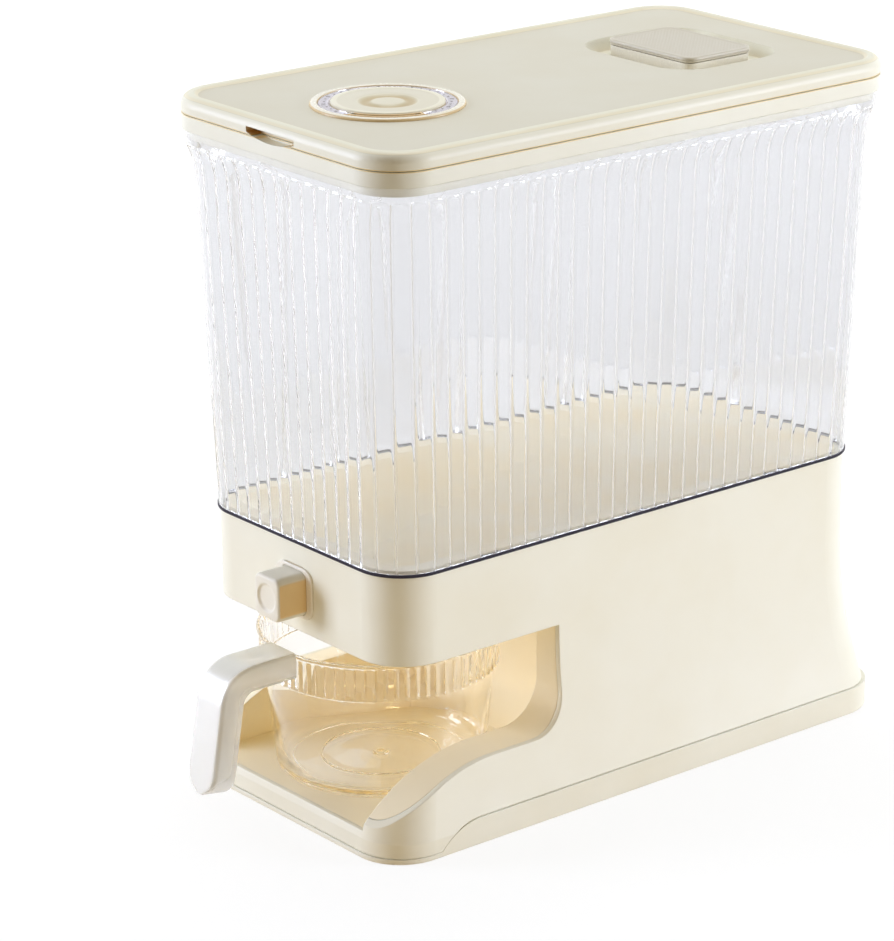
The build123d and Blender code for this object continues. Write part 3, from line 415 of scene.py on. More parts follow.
def rounded_loop(width, depth, corner, arc=10, run=1):
    """Points round a rounded rectangle, anticlockwise, from the low end of the +X side."""
    spots = []
    for turn, (c, s) in enumerate(QUARTER_TURNS):
        reach, along = (width / 2, depth / 2) if turn % 2 == 0 else (depth / 2, width / 2)
        flat = along - corner
        local = [(reach, -flat + 2 * flat * k / run) for k in range(run)]
        for k in range(arc):
            angle = math.pi / 2 * k / arc
            local.append((reach - corner + corner * math.cos(angle), flat + corner * math.sin(angle)))
        spots += [(x * c - y * s, x * s + y * c) for x, y in local]
    return np.array(spots)


def inset_loop(width, depth, corner, inset, arc=10, run=1):
    """A rounded rectangle drawn in by the same amount all round, or out where the amount is negative."""
    return rounded_loop(width - 2 * inset, depth - 2 * inset, corner - inset, arc, run)


def level_ring(loop, z):
    """A closed ring at a height from (x, y) points."""
    return np.column_stack([loop, np.full(len(loop), z)])


def front_ring(loop, y, z):
    """A closed ring in a plane that faces the front, from (x, height) points about a height."""
    return np.column_stack([loop[:, 0], np.full(len(loop), y), loop[:, 1] + z])


def lathe(profile, count, y, wave=None):
    """Rings of a (radius, z) profile turned about an upright axis at y; wave shifts each point's radius."""
    angles = np.arange(count) * 2 * math.pi / count
    rings = []
    for radius, z in profile:
        r = np.full(count, float(radius))
        if wave:
            r = r + wave(radius, z, angles)
        ring = (r * np.cos(angles), y + r * np.sin(angles), np.full(count, float(z)))
        rings.append(np.column_stack(ring))
    return rings


def bend(start, end, centre, radius, steps):
    """Points on an arc in a profile, from one angle to another in degrees."""
    return [
        (centre[0] + radius * math.cos(math.radians(a)), centre[1] + radius * math.sin(math.radians(a)))
        for a in np.linspace(start, end, steps)
    ]


# ------------------------------------------------------------------ clear tank with upright ribs
RIB_SHARES = (
    0, 0.02, 0.04, 0.06, 0.08, 0.105, 0.14, 0.2, 0.3, 0.5, 0.7, 0.8, 0.86, 0.895, 0.92, 0.94, 0.96, 0.98,
)
RIBS_SIDE, RIBS_FRONT, RIBS_CORNER = 28, 12, 4
TANK_FOOT_Z = 153.5
TANK_SHOULDER_Z = 335.0
TANK_LIP_Z = 352.0
TANK_TOP_Z = 358.4
TANK_FOOT = (169.2, 332.8, 27.0)
TANK_LIP = (188.0, 348.5, 25.7)
TANK_LEAN = 10.9
TANK_WALL = 2.4
ARCH_TOP_Z, ARCH_RADIUS, ARCH_LAND = 351.0, 3.6, 0.1
GROOVE_WIDTH, GROOVE_DEPTH, CROWN_RISE = 1.25, 0.56, 0.12
TAB_WIDTH, TAB_LENGTH, TAB_CORNER = 2.0, 12.0, 0.4
TAB_X, TAB_PLACES_Y, TAB_LOW_Z = 81.55, (-100.0, 0.0, 100.0), 144.4


def tank_size(z):
    """The tank's outer width, depth and corner radius at a height."""
    lean = TANK_LEAN * min(1, (z - TANK_FOOT_Z) / (TANK_SHOULDER_Z - TANK_FOOT_Z))
    width, depth, corner = TANK_FOOT[0] + lean, TANK_FOOT[1] + lean, TANK_FOOT[2]
    if z > TANK_SHOULDER_Z:
        climb = min(1, (z - TANK_SHOULDER_Z) / (TANK_LIP_Z - TANK_SHOULDER_Z))
        turn = 1 - math.cos(math.pi / 2 * climb)
        width += (TANK_LIP[0] - width) * turn
        depth += (TANK_LIP[1] - depth) * turn
        corner += (TANK_LIP[2] - corner) * turn
    return width, depth, corner


def tank_loop(z):
    """Points round the tank at a height, with their outward directions, places in the rib and rib widths."""
    width, depth, corner = tank_size(z)
    points, outs, places, pitches = [], [], [], []
    for turn, (c, s) in enumerate(QUARTER_TURNS):
        reach, half_run = (width / 2, depth / 2) if turn % 2 == 0 else (depth / 2, width / 2)
        count = RIBS_SIDE if turn % 2 == 0 else RIBS_FRONT
        run = half_run - corner
        for k in range(count + RIBS_CORNER):
            for share in RIB_SHARES:
                if k < count:
                    x, y, nx, ny = reach, run * (2 * (k + share) / count - 1), 1.0, 0.0
                    pitch = 2 * run / count
                else:
                    angle = math.pi / 2 * (k - count + share) / RIBS_CORNER
                    nx, ny = math.cos(angle), math.sin(angle)
                    x, y = reach - corner + corner * nx, run + corner * ny
                    pitch = corner * math.pi / 2 / RIBS_CORNER
                points.append((x * c - y * s, x * s + y * c))
                outs.append((nx * c - ny * s, nx * s + ny * c))
                places.append(min(share, 1 - share) * pitch)
                pitches.append(pitch)
    return np.array(points), np.array(outs), np.array(places), np.array(pitches)


def rib_sink(z, place, pitch):
    """How far the surface lies below the rib's crown: a narrow groove, and an arch at the rib's top."""
    side = place - ARCH_LAND
    top = np.full_like(place, ARCH_TOP_Z - z)
    inside = np.minimum(side, top)
    near = (side < ARCH_RADIUS) & (top < ARCH_RADIUS)
    inside[near] = ARCH_RADIUS - np.hypot(ARCH_RADIUS - side[near], ARCH_RADIUS - top[near])
    share = np.clip(inside / GROOVE_WIDTH, 0, 1)
    groove = 1 - share * share * (3 - 2 * share)
    crown = (1 - 2 * place / pitch) ** 2
    return GROOVE_DEPTH * groove + CROWN_RISE * crown


def make_tank():
    """The tank: a ribbed outside, a plain inside and six tabs under its foot; the ribs' edges get a whiter,
    half-diffuse material as a painted highlight.
    """
    outside = [TANK_FOOT_Z, 154.1, *range(175, 301, 25), 320, TANK_SHOULDER_Z]
    outside += [*np.linspace(336.5, 344.5, 7), *np.linspace(345.0, 350.8, 18)]
    outside += [*np.linspace(351.2, 357.6, 4), TANK_TOP_Z]
    inside = [TANK_TOP_Z, 356, TANK_LIP_Z, 347, 342, 338, TANK_SHOULDER_Z, 300, 250, 200, TANK_FOOT_Z]
    rings = []
    for z in outside:
        points, outs, place, pitch = tank_loop(z)
        rings.append(level_ring(points - outs * rib_sink(z, place, pitch)[:, None], z))
    for z in inside:
        points, outs, _, _ = tank_loop(z)
        rings.append(level_ring(points - outs * TANK_WALL, z))
    parts = [closed_tube(rings)]
    for y in TAB_PLACES_Y:
        for side in (-1, 1):
            tab = rounded_loop(TAB_WIDTH, TAB_LENGTH, TAB_CORNER, arc=3) + (side * TAB_X, y)
            parts.append(capped([level_ring(tab, TAB_LOW_Z), level_ring(tab, TANK_FOOT_Z)]))
    verts, faces = merged(parts)
    piece = mesh_piece("tank_ribbed", verts, faces, tank_clear, "base", "tank", sharp=50)
    # The faces along each rib's edges, below the arches, take the painted highlight.
    piece.data.materials.append(rib_edge_highlight)
    below_arches = sum(z < ARCH_TOP_Z - 1 for z in outside) - 1
    per_rib = len(RIB_SHARES)
    highlight_strips = (0, 1, per_rib - 2, per_rib - 1)
    slots = []
    for k in range(len(faces)):
        level, spot = divmod(k, len(rings[0]))
        slots.append(int(level < below_arches and spot % per_rib in highlight_strips))
    piece.data.polygons.foreach_set("material_index", slots)


make_tank()


# ------------------------------------------------------------------ measuring cup
CUP_Y = -111.0
CUP_LOW_Z = 15.05
CUP_FLOOR_Z = CUP_LOW_Z + 3.8
CUP_RIM_RADIUS = 65.4
CUP_SPOTS = 576
FLUTES = 72
FLUTE_LOW_Z = 73.5
FLUTE_HIGH_Z = 92.3
FLUTE_BAND_RADIUS = 63.0
FLUTE_DEPTH = 1.2
FLUTE_FADE_LOW = 1.5
FLUTE_FADE_HIGH = 1.0
FLUTE_LAND = 0.45
FLUTE_FLANK = 0.4


def cup_wave(radius, z, angles):
    """Upright flutes round the cup's band."""
    if not (FLUTE_LOW_Z < z < FLUTE_HIGH_Z and radius > FLUTE_BAND_RADIUS):
        return 0 * angles
    place = np.abs(((angles * FLUTES / (2 * math.pi)) % 1) - 0.5) * 2
    fade = min(1, (z - FLUTE_LOW_Z) / FLUTE_FADE_LOW) * min(1, (FLUTE_HIGH_Z - z) / FLUTE_FADE_HIGH)
    return -FLUTE_DEPTH * fade * np.clip((place - FLUTE_LAND) / FLUTE_FLANK, 0, 1) ** 1.5


def cup_profile():
    """The cup's outline as (radius, z): up the outside, over the rim, down the inside and over its floor."""
    low, floor = CUP_LOW_Z, CUP_FLOOR_Z
    foot = [(2.0, low + 1.2), (47.6, low + 1.2), (48.0, low + 0.4), (48.4, low), (50.6, low), (51.4, low)]
    foot += bend(-90, 0, (51.4, low + 5), 5.0, 7)[1:]
    side = [(57.6, 32.0), (58.9, 45.0), (60.2, 59.0), (61.6, 72.4), (62.0, 73.0), (63.2, 73.2), (64.0, 73.9)]
    band = [(64.2, z) for z in (74.5, 75.2, 76, 80, 85, 90, 91, 91.8)]
    rim = [(64.4, 92.2), (65.1, 92.5), (CUP_RIM_RADIUS, 93.0), (CUP_RIM_RADIUS, 94.0)]
    rim += [(65.0, 94.5), (63.6, 94.5), (63.2, 94.1)]
    inside = [(62.4, 90), (61.0, 80), (60.0, 71.0), (58.2, 52), (56.0, 32.0), (54.4, 22.5)]
    inside += bend(0, -90, (49.6, 23.6), 4.75, 6)[1:]
    rings = [(40, floor), (33.2, floor), (32.6, floor + 0.15), (32.1, floor + 0.8), (31.7, floor + 0.8)]
    rings += [(31.3, floor + 0.15), (30.8, floor), (20, floor), (6.0, floor)]
    rings += [(4.6, floor + 0.2), (4.0, floor + 0.8), (2.0, floor + 0.8)]
    return foot + side + band + rim + inside + rings


HANDLE_TOP_Z = 95.6
HANDLE_START_Y = CUP_Y - CUP_RIM_RADIUS + 1.6
HANDLE_BEND_Y, HANDLE_BEND_RADIUS = -201.5, 21.0
HANDLE_TIP_Y = -230.5
HANDLE_TIP_Z = 28.5
HANDLE_TIP_ROUND = 12.0
HANDLE_TIP_HALF = 2.6
HANDLE_HALF = 12.0
HANDLE_DEPTH = 13.8
HANDLE_WEB = 2.8
HANDLE_FLANGE = 2.4
HANDLE_EDGE = 2.4
THUMB_Y = -193.0
THUMB_LENGTH = 6.0
THUMB_WIDTH = 5.0
THUMB_DEPTH = 1.2
THUMB_DROP = 0.6


def handle_path(steps_flat=16, steps_bend=24, steps_leg=30):
    """Points (y, z) on the handle's outer line, with how far it has turned, from the rim to the tip."""
    centre_z = HANDLE_TOP_Z - HANDLE_BEND_RADIUS
    turn = math.pi / 2
    # The bend's end and the leg's lean depend on each other, so a few rounds settle both.
    for _ in range(4):
        bend_end_y = HANDLE_BEND_Y - HANDLE_BEND_RADIUS * math.sin(turn)
        bend_end_z = centre_z + HANDLE_BEND_RADIUS * math.cos(turn)
        turn = math.pi / 2 - math.atan2(bend_end_y - HANDLE_TIP_Y, bend_end_z - HANDLE_TIP_Z)
    path = []
    for k in range(steps_flat):
        y = HANDLE_START_Y + (HANDLE_BEND_Y - HANDLE_START_Y) * k / steps_flat
        path.append((y, HANDLE_TOP_Z, 0.0))
    for k in range(steps_bend + 1):
        angle = turn * k / steps_bend
        y = HANDLE_BEND_Y - HANDLE_BEND_RADIUS * math.sin(angle)
        path.append((y, centre_z + HANDLE_BEND_RADIUS * math.cos(angle), angle))
    for k in range(1, steps_leg + 1):
        share = k / steps_leg
        y = bend_end_y + (HANDLE_TIP_Y - bend_end_y) * share
        path.append((y, bend_end_z + (HANDLE_TIP_Z - bend_end_z) * share, turn))
    return path


def handle_section(half, dip):
    """The handle's U section as (across, inwards) points: rounded edges and a shallow dip for the thumb."""
    depth, web, flange = HANDLE_DEPTH, HANDLE_WEB, HANDLE_FLANGE
    r = min(HANDLE_EDGE, half * 0.45)
    points = []
    for k in range(11):
        x = (half - r) * (k / 5 - 1)
        points.append((x, dip * math.exp(-((x / THUMB_WIDTH) ** 2) * 1.5)))
    top_count = len(points)
    for k in range(1, 6):
        angle = math.pi / 2 * k / 5
        points.append((half - r + r * math.sin(angle), r - r * math.cos(angle)))
    inner = max(half - flange, 0.15)
    points += [(half, depth - 1.0), (half - 0.35, depth - 0.25), (half - 1.0, depth)]
    points += [(half - flange + 0.8, depth), (inner + 0.1, depth - 0.4), (inner, depth - 1.0)]
    points += [(inner, web + 1.2), (max(inner - 0.9, 0.05), web)]
    points += [(-x, d) for x, d in reversed(points[top_count:])]
    return points


def handle_mesh():
    """The handle swept along its line, narrowing to a round tip."""
    rings = []
    for y, z, angle in handle_path():
        rise = z - HANDLE_TIP_Z
        half = HANDLE_HALF
        if rise < HANDLE_TIP_ROUND:
            short = HANDLE_TIP_ROUND - rise
            half = max(math.sqrt(max(HANDLE_TIP_ROUND**2 - short**2, 0)), HANDLE_TIP_HALF)
        on_top = z > HANDLE_TOP_Z - THUMB_DROP
        dip = THUMB_DEPTH * math.exp(-(((y - THUMB_Y) / THUMB_LENGTH) ** 2)) if on_top else 0.0
        ring = []
        for across, inwards in handle_section(half, dip):
            ring.append((across, y + math.sin(angle) * inwards, z - math.cos(angle) * inwards))
        rings.append(np.array(ring))
    return capped(rings)


def make_cup():
    """The cup and its handle as one moulding, with the handle in its own milkier material."""
    bowl = capped(lathe(cup_profile(), CUP_SPOTS, CUP_Y, cup_wave), flipped=True)
    bowl_faces = len(bowl[1])
    verts, faces = merged([bowl, handle_mesh()])
    piece = mesh_piece("cup_with_handle", verts, faces, cup_clear, "cup", "measuring_cup", sharp=40)
    piece.data.materials.append(handle_clear)
    piece.data.polygons.foreach_set("material_index", [int(k >= bowl_faces) for k in range(len(faces))])


make_cup()


# ------------------------------------------------------------------ dial in the lid
DIAL_Y = -100.4
DIAL_BED_Z = 374.65
DIAL_SPOTS = 192
# Angles are in degrees. The pointer's are counted from where it faces.
POINTER_FACING = -40.0
POINTER_HALF = 34.0
POINTER_BAR = 2.0
# Painted shade: tan rings fill the gaps on each side of the pointer's frame and run this far past its ends;
# their radii and heights are below.
POINTER_SHADE_OVERHANG = 2.0
POINTER_CLEARANCE = 4.0
SHADE_IN = 29.75
FRAME_IN = 30.9
FIELD_IN = 31.8
FIELD_OUT = 34.4
FRAME_OUT = 35.5
SHADE_OUT = 36.1
SHADE_LOW_Z = 375.6
MARK_LOW_Z = 375.7
MARK_TOP_Z = 375.95
FRAME_TOP_Z = 376.35
FRAME_INNER_TOP_Z = 376.4
SHADE_INNER_TOP_Z = 376.1
SHADE_OUTER_TOP_Z = 376.2
END_MARK_START, END_MARK_STOP, END_MARK_IN = 27.5, 31.5, 32.1
TICK_IN = 32.0
TICK_LONG_OUT = 34.2
TICK_SHORT_OUT = 33.1
TICK_LOW_Z = 375.74
TICK_TOP_Z = 375.82
TICK_STEP, TICK_HALF, LONG_TICK_EVERY = 10, 0.7, 3


def dial_ring(name, profile, look, node):
    """A turned ring round the dial's axis, which stays with the lid."""
    verts, faces = closed_tube(lathe(profile, DIAL_SPOTS, DIAL_Y))
    piece = mesh_piece(name, verts, faces, look, "lid", node, sharp=35)


def arc_bar(radius_low, radius_high, start, end, z_low, z_high, steps=24):
    """A flat bar bent round the dial, from one angle to another in degrees."""
    rings = []
    corners = ((radius_low, z_low), (radius_high, z_low), (radius_high, z_high), (radius_low, z_high))
    for angle in np.radians(np.linspace(start, end, steps)):
        c, s = math.cos(angle), math.sin(angle)
        rings.append(np.array([(c * r, DIAL_Y + s * r, z) for r, z in corners]))
    return capped(rings)


def pointer_bar(radius_low, radius_high, start, end, z_low, z_high, steps=24):
    """A bar of the pointer, with its angles counted from where the pointer faces."""
    turned = (POINTER_FACING + start, POINTER_FACING + end)
    return arc_bar(radius_low, radius_high, *turned, z_low, z_high, steps)


def lid_bars(name, bars, look):
    """Several bars as one piece that stays with the lid."""
    verts, faces = merged(bars)
    mesh_piece(name, verts, faces, look, "lid")


def make_dial_rings():
    """The dial's outer ring and the clear ring in it."""
    bezel = [(36.1, 373.7), (36.1, 375.5), (36.35, 376.0), (36.9, 376.25), (37.6, 376.3), (38.7, 376.3)]
    bezel += [(39.4, 376.1), (39.9, 375.6), (40.1, 375.0), (40.1, DIAL_BED_Z), (37.0, DIAL_BED_Z)]
    bezel += [(36.7, 373.7)]
    dial_ring("dial_bezel_ring", bezel, bezel_ivory, "dial_bezel")
    low, high = 374.62, 375.75
    window = [(30.3, low), (35.8, low), (35.8, 375.5), (35.5, high), (30.6, high), (30.3, 375.5)]
    dial_ring("dial_window_ring", window, dial_clear, "dial_window")


def make_dial_knob():
    """The knob: a round boss, a groove, a flat and a raised edge, with the spindle below."""
    boss = [(0.5, 376.2), (6.0, 376.2), (7.6, 376.15), (8.6, 375.9), (9.4, 375.4), (10.2, 375.05)]
    groove = [(11.4, 374.95), (12.8, 375.0), (14.0, 375.35), (15.2, 375.9), (16.2, 376.3)]
    flat = [(17.2, 376.43), (21.0, 376.45), (25.6, 376.45)]
    edge = [(26.1, 376.5), (26.6, 376.72), (27.3, 376.8), (28.4, 376.8), (29.1, 376.62), (29.5, 376.2)]
    under = [(29.6, 375.6), (29.6, DIAL_BED_Z), (3.0, DIAL_BED_Z), (3.0, 368.4), (0.5, 368.4)]
    rings = lathe(boss + groove + flat + edge + under, DIAL_SPOTS, DIAL_Y)
    verts, faces = capped(rings, flipped=True)
    piece = mesh_piece("dial_knob_turned", verts, faces, knob_ivory, "dial", "dial_knob", sharp=35)


def make_dial_marks():
    """The pointer's frame, tan rings of painted shade in the gaps beside it, its end marks, and the ticks
    round the rest of the dial.
    """
    half, bar, shade_span = POINTER_HALF, POINTER_HALF - POINTER_BAR, POINTER_HALF + POINTER_SHADE_OVERHANG
    near, far = END_MARK_START, END_MARK_STOP
    lid_bars("dial_pointer_frame", [
        pointer_bar(FRAME_IN, FIELD_IN, -half, half, MARK_LOW_Z, FRAME_INNER_TOP_Z),
        pointer_bar(FIELD_OUT, FRAME_OUT, -half, half, MARK_LOW_Z, FRAME_TOP_Z),
        pointer_bar(FIELD_IN, FIELD_OUT, -half, -bar, MARK_LOW_Z, FRAME_TOP_Z, steps=4),
        pointer_bar(FIELD_IN, FIELD_OUT, bar, half, MARK_LOW_Z, FRAME_TOP_Z, steps=4),
    ], button_ivory)
    # Painted shade: tan rings in the gaps between the pointer's frame and the knob, and between the frame and
    # the bezel.
    lid_bars("dial_pointer_gap_shade", [
        pointer_bar(SHADE_IN, FRAME_IN, -shade_span, shade_span, SHADE_LOW_Z, SHADE_INNER_TOP_Z),
        pointer_bar(FRAME_OUT, SHADE_OUT, -shade_span, shade_span, SHADE_LOW_Z, SHADE_OUTER_TOP_Z),
    ], gap_shade_tan)
    lid_bars("dial_end_marks", [
        pointer_bar(END_MARK_IN, FIELD_OUT, -far, -near, MARK_LOW_Z, MARK_TOP_Z, steps=4),
        pointer_bar(END_MARK_IN, FIELD_OUT, near, far, MARK_LOW_Z, MARK_TOP_Z, steps=4),
    ], tick_ink)
    ticks = []
    for k in range(360 // TICK_STEP):
        angle = TICK_STEP * k
        if abs((angle - POINTER_FACING + 180) % 360 - 180) < POINTER_HALF + POINTER_CLEARANCE:
            continue
        outer = TICK_LONG_OUT if k % LONG_TICK_EVERY == 0 else TICK_SHORT_OUT
        spread = (angle - TICK_HALF, angle + TICK_HALF)
        ticks.append(arc_bar(TICK_IN, outer, *spread, TICK_LOW_Z, TICK_TOP_Z, steps=3))
    lid_bars("dial_ticks", ticks, tick_ink)


# ------------------------------------------------------------------ moisture box's cap
CAP_CENTRE = (0.0, 100.4)
CAP_SIZE = (68.4, 48.0, 7.0)
# (inset, z) from the underside, over the seam and the rim, to the grid's border
CAP_EDGE = [
    (1.2, 374.8), (0.5, 374.95), (0.0, 375.4), (0.0, 376.0), (0.35, 376.15), (0.35, 376.35), (0.0, 376.5),
    (0.0, 377.2), (0.25, 377.65), (0.8, 377.95), (1.5, 378.0), (2.3, 377.9), (2.8, 377.62),
]
PLUG_SIZE, PLUG_LOW_Z, PLUG_HIGH_Z = (54.8, 34.4, 1.0), 371.9, 374.9
GRID_Z = 377.66
GRID_DENT = 0.16
GRID_PITCH = 1.2
GRID_FADE = 1.2
GRID_HALF_X, GRID_HALF_Y = 30.6, 20.4


def cap_grid(start):
    """The pressed grid on the cap: points, quads and the border's points, numbered from start."""
    xs = np.arange(-GRID_HALF_X, GRID_HALF_X + 0.1, GRID_PITCH / 4)
    ys = np.arange(-GRID_HALF_Y, GRID_HALF_Y + 0.1, GRID_PITCH / 4)
    verts = []
    for x in xs:
        for y in ys:
            edge = min(1, (GRID_HALF_X - abs(x)) / GRID_FADE, (GRID_HALF_Y - abs(y)) / GRID_FADE)
            check = math.sin(math.pi * x / GRID_PITCH) * math.sin(math.pi * y / GRID_PITCH)
            verts.append((x, y + CAP_CENTRE[1], GRID_Z - GRID_DENT * max(0, check) * edge))
    columns, rows = len(xs), len(ys)
    faces = []
    for i in range(columns - 1):
        for j in range(rows - 1):
            a = start + i * rows + j
            faces.append((a, a + rows, a + rows + 1, a + 1))
    border = [start + i * rows for i in range(columns)]
    border += [start + (columns - 1) * rows + j for j in range(1, rows)]
    border += [start + i * rows + rows - 1 for i in range(columns - 2, -1, -1)]
    border += [start + j for j in range(rows - 2, 0, -1)]
    return np.array(verts), faces, border


def fill_between(mesh, loops):
    """Fill the flat strip between two loops of points with triangles."""
    bm = bmesh.new()
    bm.from_mesh(mesh)
    bm.verts.ensure_lookup_table()
    edges = []
    for loop in loops:
        for a, b in zip(loop, loop[1:] + loop[:1]):
            edge = bm.edges.get((bm.verts[a], bm.verts[b]))
            if edge:
                edges.append(edge)
    bmesh.ops.triangle_fill(bm, use_beauty=True, use_dissolve=False, edges=edges)
    bmesh.ops.recalc_face_normals(bm, faces=bm.faces)
    bm.to_mesh(mesh)
    bm.free()


def make_moisture_cap():
    """The moisture box's cap: a soft bright rim, a seam below it, and a fine pressed grid."""
    sharp = 40
    rings = [level_ring(inset_loop(*CAP_SIZE, inset, arc=8, run=12) + CAP_CENTRE, z) for inset, z in CAP_EDGE]
    verts, faces = stacked(rings)
    count = len(rings[0])
    faces.append(tuple(range(count - 1, -1, -1)))
    plug = rounded_loop(*PLUG_SIZE, arc=3) + CAP_CENTRE
    plug_rings = [level_ring(plug, PLUG_LOW_Z), level_ring(plug, PLUG_HIGH_Z)]
    verts, faces = merged([(verts, faces), capped(plug_rings)])
    grid_verts, grid_faces, border = cap_grid(len(verts))
    verts = np.concatenate([verts, grid_verts])
    piece = mesh_piece("moisture_cap", verts, faces + grid_faces, cap_ivory, "moisture_box", "desiccant_cap",
                       sharp=sharp)
    top = (len(CAP_EDGE) - 1) * count
    fill_between(piece.data, (list(range(top, top + count)), border))
    smooth(piece.data, sharp)


# ------------------------------------------------------------------ push button and its spring
BUTTON_WIDE, BUTTON_TALL, BUTTON_CORNER = 21.4, 24.0, 4.5
BUTTON_WALL, BUTTON_EDGE, BUTTON_CROWN = 2.2, 1.9, 0.15
FLANGE_REACH, FLANGE_THICK = 2.4, 2.0
DIMPLE_RADIUS = 8.2
DIMPLE_DEPTH = 1.25
DIMPLE_SLOPE = 1.3
DIMPLE_DISH = 0.25
DIMPLE_RINGS = (7.9, 7.5, 6.9, 6.0, 4.8, 3.4, 1.8, 0.4)
SPRING_RADIUS = 4.6
SPRING_WIRE = 1.2
SPRING_TURNS = 8
SPRING_STEPS = 24
WIRE_SIDES = 10


def button_loop(inset):
    """The button's outline seen from the front, drawn in by an amount."""
    return inset_loop(BUTTON_WIDE, BUTTON_TALL, BUTTON_CORNER, inset, arc=10, run=6)


def make_button():
    """The push button, hollow at the back: soft edges, a crowned face and a dimple for the fingertip."""
    low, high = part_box("push_button")
    face, back, middle = low[1] / MM, high[1] / MM, (low[2] + high[2]) / 2 / MM
    hollow, flange = button_loop(BUTTON_WALL), button_loop(-FLANGE_REACH)
    rings = [front_ring(hollow, face + BUTTON_WALL, middle), front_ring(hollow, back, middle)]
    rings += [front_ring(flange, back, middle), front_ring(flange, back - FLANGE_THICK, middle)]
    rings.append(front_ring(button_loop(0.0), back - FLANGE_THICK, middle))
    for angle in np.linspace(0, math.pi / 2, 7):
        loop = button_loop(BUTTON_EDGE * (1 - math.cos(angle)))
        y = face + BUTTON_CROWN + BUTTON_EDGE * (1 - math.sin(angle))
        rings.append(front_ring(loop, y, middle))
    around = np.arctan2(loop[:, 1], loop[:, 0])
    circle = np.column_stack([np.cos(around), np.sin(around)])
    for share in (0.35, 0.7, 1.0):
        between = loop * (1 - share) + DIMPLE_RADIUS * circle * share
        rings.append(front_ring(between, face + BUTTON_CROWN * (1 - share), middle))
    for radius in DIMPLE_RINGS:
        slope = min(1, (DIMPLE_RADIUS - radius) / DIMPLE_SLOPE) ** 1.5
        sink = DIMPLE_DEPTH * slope * (1 - DIMPLE_DISH * (radius / DIMPLE_RADIUS) ** 2)
        rings.append(front_ring(radius * circle, face + sink, middle))
    piece = mesh_piece("push_button_cap", *capped(rings), button_ivory, "button", "push_button", sharp=45)


def make_spring():
    """The return spring: a coil between the button and the bracket, which rides with the button."""
    low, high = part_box("return_spring")
    middle = (low[2] + high[2]) / 2 / MM
    start, end = low[1] / MM + SPRING_WIRE / 2, high[1] / MM - SPRING_WIRE / 2
    rise = (end - start) / (2 * math.pi * SPRING_TURNS)
    around = np.linspace(0, 2 * math.pi, WIRE_SIDES, endpoint=False)
    rings = []
    for k in range(SPRING_TURNS * SPRING_STEPS + 1):
        angle = 2 * math.pi * k / SPRING_STEPS
        outward = np.array([math.cos(angle), 0, math.sin(angle)])
        along = np.array([-SPRING_RADIUS * math.sin(angle), rise, SPRING_RADIUS * math.cos(angle)])
        across = np.cross(along / np.linalg.norm(along), outward)
        y = start + (end - start) * k / (SPRING_TURNS * SPRING_STEPS)
        centre = SPRING_RADIUS * outward + np.array([0, y, middle])
        wire = np.outer(np.cos(around), outward) + np.outer(np.sin(around), across)
        rings.append(centre + SPRING_WIRE / 2 * wire)
    piece = mesh_piece("return_coil", *capped(rings), spring_steel, "button", "return_spring", sharp=60)
    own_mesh(piece)


# ------------------------------------------------------------------ gasket under the tank
GASKET_TOP_Z, GASKET_LOW_Z = 153.45, 152.3
# (inset from the tank's foot, z), with the lip outside
GASKET_PROFILE = [
    (1.75, GASKET_LOW_Z), (0.0, GASKET_LOW_Z), (-0.35, 152.2), (-0.45, 152.4), (-0.45, 153.9), (-0.3, 154.05),
    (-0.05, 153.9), (-0.05, GASKET_TOP_Z), (1.75, GASKET_TOP_Z),
]


def make_gasket():
    """The dark gasket under the tank, with a thin lip that laps the tank's foot."""
    rings = [level_ring(inset_loop(*TANK_FOOT, inset, arc=16, run=2), z) for inset, z in GASKET_PROFILE]
    piece = mesh_piece("gasket_lip", *closed_tube(rings), dark_rubber, "base", "tank_gasket", sharp=35)


make_dial_rings()
make_dial_knob()
make_dial_marks()
make_moisture_cap()
make_button()
make_spring()
make_gasket()


# ------------------------------------------------------------------ stage: floor, light, camera
PAPER_WHITE = (1, 1, 1, 1)
FLOOR_SIDE = 30.0
FLOOR_BOUNCE, FLOOR_SEEN = (0.76, 0.65, 0.48, 1), (0.18, 0.18, 0.18, 1)
FLOOR_GLOW_NEAR, FLOOR_GLOW_FAR = 0.84, 1.0
FLOOR_NEAR, FLOOR_FAR = 0.4, 2.0
AMBER_SIDE = (0.755, -0.639, 0.148)
AMBER_FROM, AMBER_FULL = 0.12, 0.82
SKY_STRENGTH, SKY_COOL, SKY_AMBER = 0.44, (0.94, 0.965, 0.96, 1), (0.38, 0.21, 0.02, 1)
AMBER_CARD = (0.45, 0.27, 0.06, 1)


